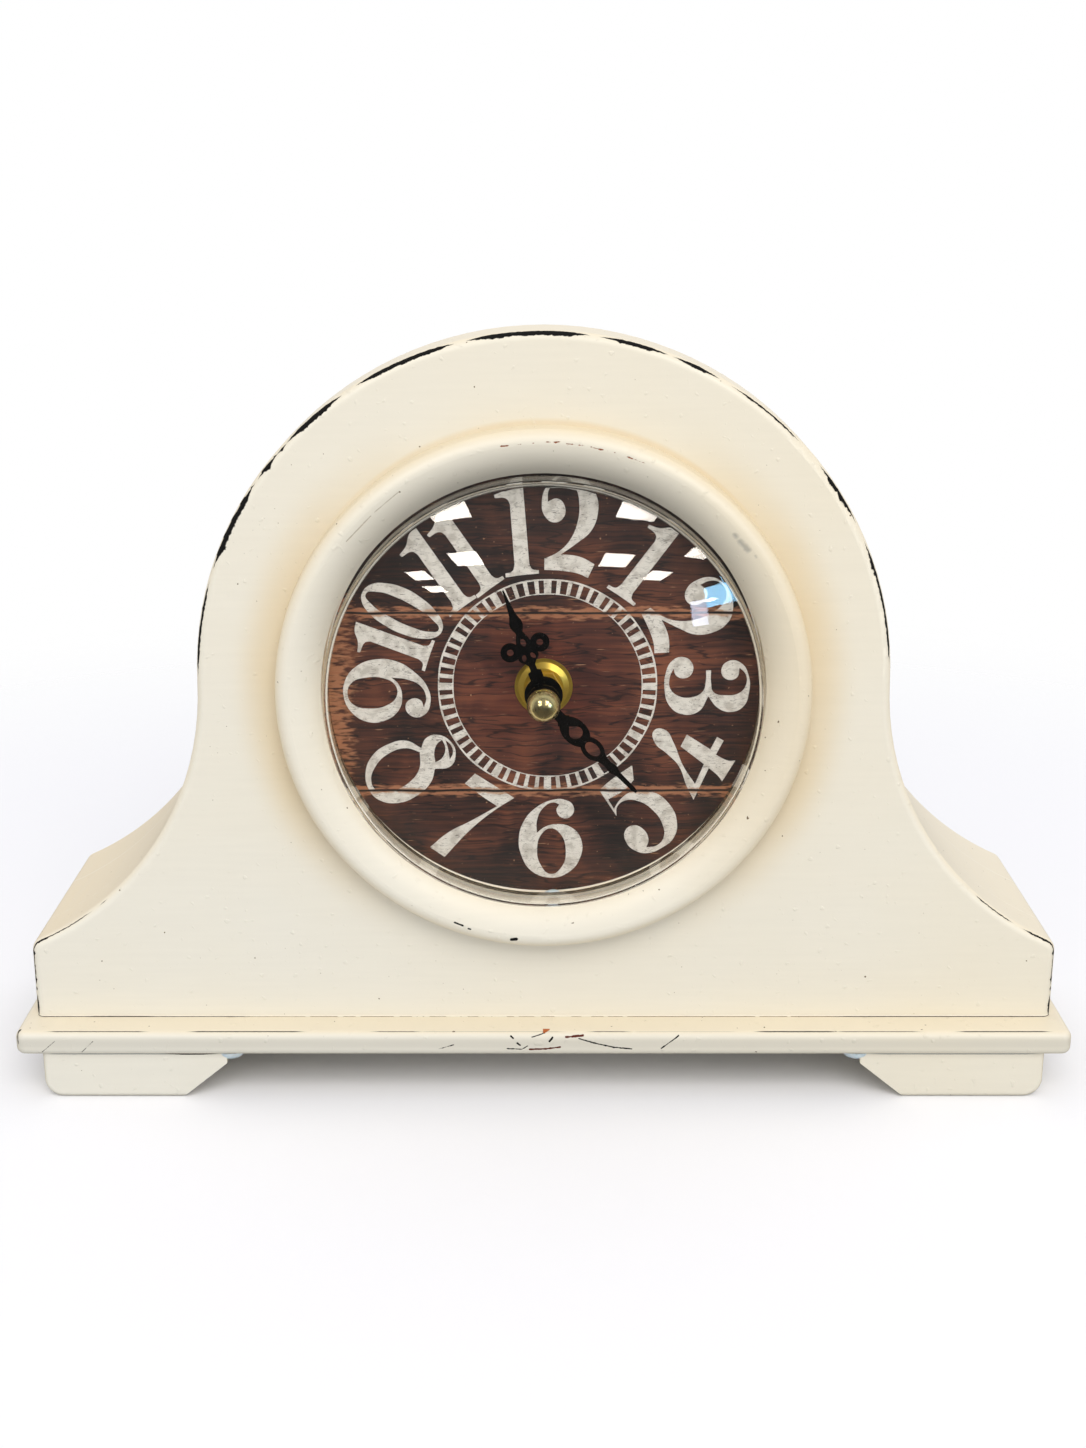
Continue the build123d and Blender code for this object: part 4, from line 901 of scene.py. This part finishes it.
# polished and lacquered metals shine softly, plated and bare ones are greyer and duller
paleBrass = metal("Pale polished brass", "#EFE3AC", "#D8C682", 0.12, 3)  # small sharp lights
brass = metal("Lacquered brass", "#D6B957", "#BD9C40", 0.32, 8)  # warm and a little blurred
steel = metal("Zinc-plated steel", "#B9B9B4", "#8D8B85", 0.3, 2)  # grey and mottled
iron = metal("Soft iron", "#77777A", "#55534F", 0.4, 4)  # dark and dull
copper = metal("Enamelled copper wire", "#B4622F", "#7E3D1B", 0.3, 1)  # red-brown and glossy
enamel = moulded("Black enamel", "#030303", "#080808", 0.24, 0.6)  # baked on, so a clear gloss
rubber = moulded("Black rubber", "#141414", "#1D1C1B", 0.75, 0.5)  # matt
blackPlastic = moulded("Black moulded plastic", "#121214", "#1B1B1D", 0.5, 0.7)  # a fine texture
whitePlastic = moulded("White moulded acetal", "#DEDCD4", "#CFCCC2", 0.45, 0.7)  # milky satin
hardboard = moulded("Hardboard", "#6B4A30", "#4F3421", 0.7, 0.8)  # pressed fibres, cloudy and matt
laminate = moulded("Circuit board laminate", "#2E5A3A", "#24482F", 0.45, 0.8)  # green lacquer
sleeve = moulded("Battery sleeve", "#1F2A38", "#2A3848", 0.35, 1.5)  # smooth film

dress(paleBrass, "cap_nut")
dress(brass, "dial_washer", "bush_nut", "centre_bush", "minute_arbor")
dress(steel, "rear_panel_screws", "base_screws", "foot_screws", "dial_screws", "positive_contact",
      "negative_contact", "quartz_crystal")
dress(iron, "stator", "rotor_magnet")
dress(copper, "coil")
dress(enamel, "hour_hand", "minute_hand")
dress(rubber, "rubber_gasket")
dress(blackPlastic, "movement_front_cover", "movement_rear_case", "setting_knob", "control_chip")
dress(whitePlastic, "hour_wheel", "motion_wheel", "centre_wheel", "third_wheel", "second_wheel",
      "intermediate_wheel", "rotor_pinion")
dress(hardboard, "rear_panel", "dial_plate", "dial_retaining_ring")
dress(laminate, "circuit_board")
dress(sleeve, "battery")
print("finishes on the hardware")


# plain studio: a pale floor that fades into a white background, soft fill and lamps in metres

studio = dict(
    floorSize=4.0, fade=(0.28, 0.6), floor="#F8F9FF", floorBounce="#CDD1D6", floorMirrored="#403C38",
    fill=0.7, lean=(0.05, -0.1, 0.1), room=(0.0, 0.6, 0.03, 0.07), backdrop=(-0.4, 0.3), aim=(0, 0, 0.1),
)

bpy.ops.mesh.primitive_plane_add(size=studio["floorSize"], location=(0, 0, 0))
floor = bpy.context.object
floor.name = "studio_floor"
floorPaint, add = newMaterial("Matt white floor")
fromMiddle = add("VectorMath", [add("TexCoord").outputs["Object"]], operation="LENGTH").outputs["Value"]
fade = add("MapRange", [fromMiddle, *studio["fade"]], interpolation_type="SMOOTHSTEP")
path = add("LightPath").outputs
mirrored = add("Math", [path["Is Glossy Ray"], path["Is Transmission Ray"]], operation="MAXIMUM")
unseen = add("MixRGB", [mirrored, hexColour(studio["floorBounce"]), hexColour(studio["floorMirrored"])])
colour = add("MixRGB", [path["Is Camera Ray"], unseen, hexColour(studio["floor"])])
matt = add("BsdfDiffuse", {"Color": colour})
add("OutputMaterial", {"Surface": add("MixShader", [fade, matt, add("BsdfTransparent")])})
floor.data.materials.append(floorPaint)

world = bpy.data.worlds.new("Studio")
bpy.context.scene.world = world
world.use_nodes = True
add = nodeAdder(world.node_tree)
path = add("LightPath").outputs
way = add("TexCoord").outputs["Generated"]
ways = add("SeparateXYZ", [way]).outputs
# fill light, a little stronger from above, the front and the right
fill = add("VectorMath", [way, studio["lean"]], operation="DOT_PRODUCT").outputs["Value"]
fill = add("Math", [fill, studio["fill"]], operation="ADD")
fill = add("Math", [fill, 0.0], operation="MAXIMUM")
# gloss mirrors the white background behind the clock and a dim room in front of it, with a paler ceiling
room = add("MapRange", [ways["Z"], *studio["room"]])
room = add("MapRange", [ways["Y"], *studio["backdrop"], room, 1.0])
mirrored = add("Math", [path["Is Glossy Ray"], path["Is Transmission Ray"]], operation="MAXIMUM")
level = add("MapRange", [mirrored, 0.0, 1.0, fill, room])
strength = add("MapRange", [path["Is Camera Ray"], 0.0, 1.0, level, 1.0])
sky = add("Background", {"Color": (1, 1, 1, 1), "Strength": strength})
add("OutputWorld", {"Surface": sky})

lamps = {
    "key": dict(place=(0.3, -2.5, 2.6), size=(2.6, 2.0), power=61.0, colour="#FFFAF2"),
    "window_blue": dict(place=(2.37, -1.92, 0.77), size=(0.56, 0.27), power=6.5, colour="#9CD6FA"),
    "window_pale": dict(place=(2.1, -2.22, 0.58), size=(0.25, 0.34), power=2.2, colour="#DDE7FF"),
}
ceilingPanels = dict(
    height=2.4, size=(0.76, 0.76), power=44.0, colour="#FFF8EE",
    places=[(-1.62, -2.47), (1.62, -2.47), (-1.9, -4.5), (1.8, -4.6), (-3.86, -5.38), (-3.99, -6.77),
            (3.95, -3.62), (3.48, -5.44), (8.6, -8.0)],
)
for number, (x, y) in enumerate(ceilingPanels.pop("places")):
    place = (x, y, ceilingPanels["height"])
    lamps["ceiling_" + str(number)] = dict(ceilingPanels, place=place, aim=(x, y, 0))
for name, lamp in lamps.items():
    bpy.ops.object.light_add(type="AREA", location=lamp["place"])
    light = bpy.context.object
    light.name = name + "_light"
    light.data.shape = "RECTANGLE"
    light.data.size, light.data.size_y = lamp["size"]
    light.data.energy = lamp["power"]
    light.data.color = hexColour(lamp["colour"])[:3]
    aim = Vector(lamp.get("aim", studio["aim"])) - Vector(lamp["place"])
    light.rotation_euler = aim.to_track_quat("-Z", "Y").to_euler()
    # the key lamp lights the clock, and the windows and ceiling panels only show in the gloss
    light.visible_diffuse = name == "key"
    light.visible_glossy = light.visible_transmission = name != "key"
print("studio lit")
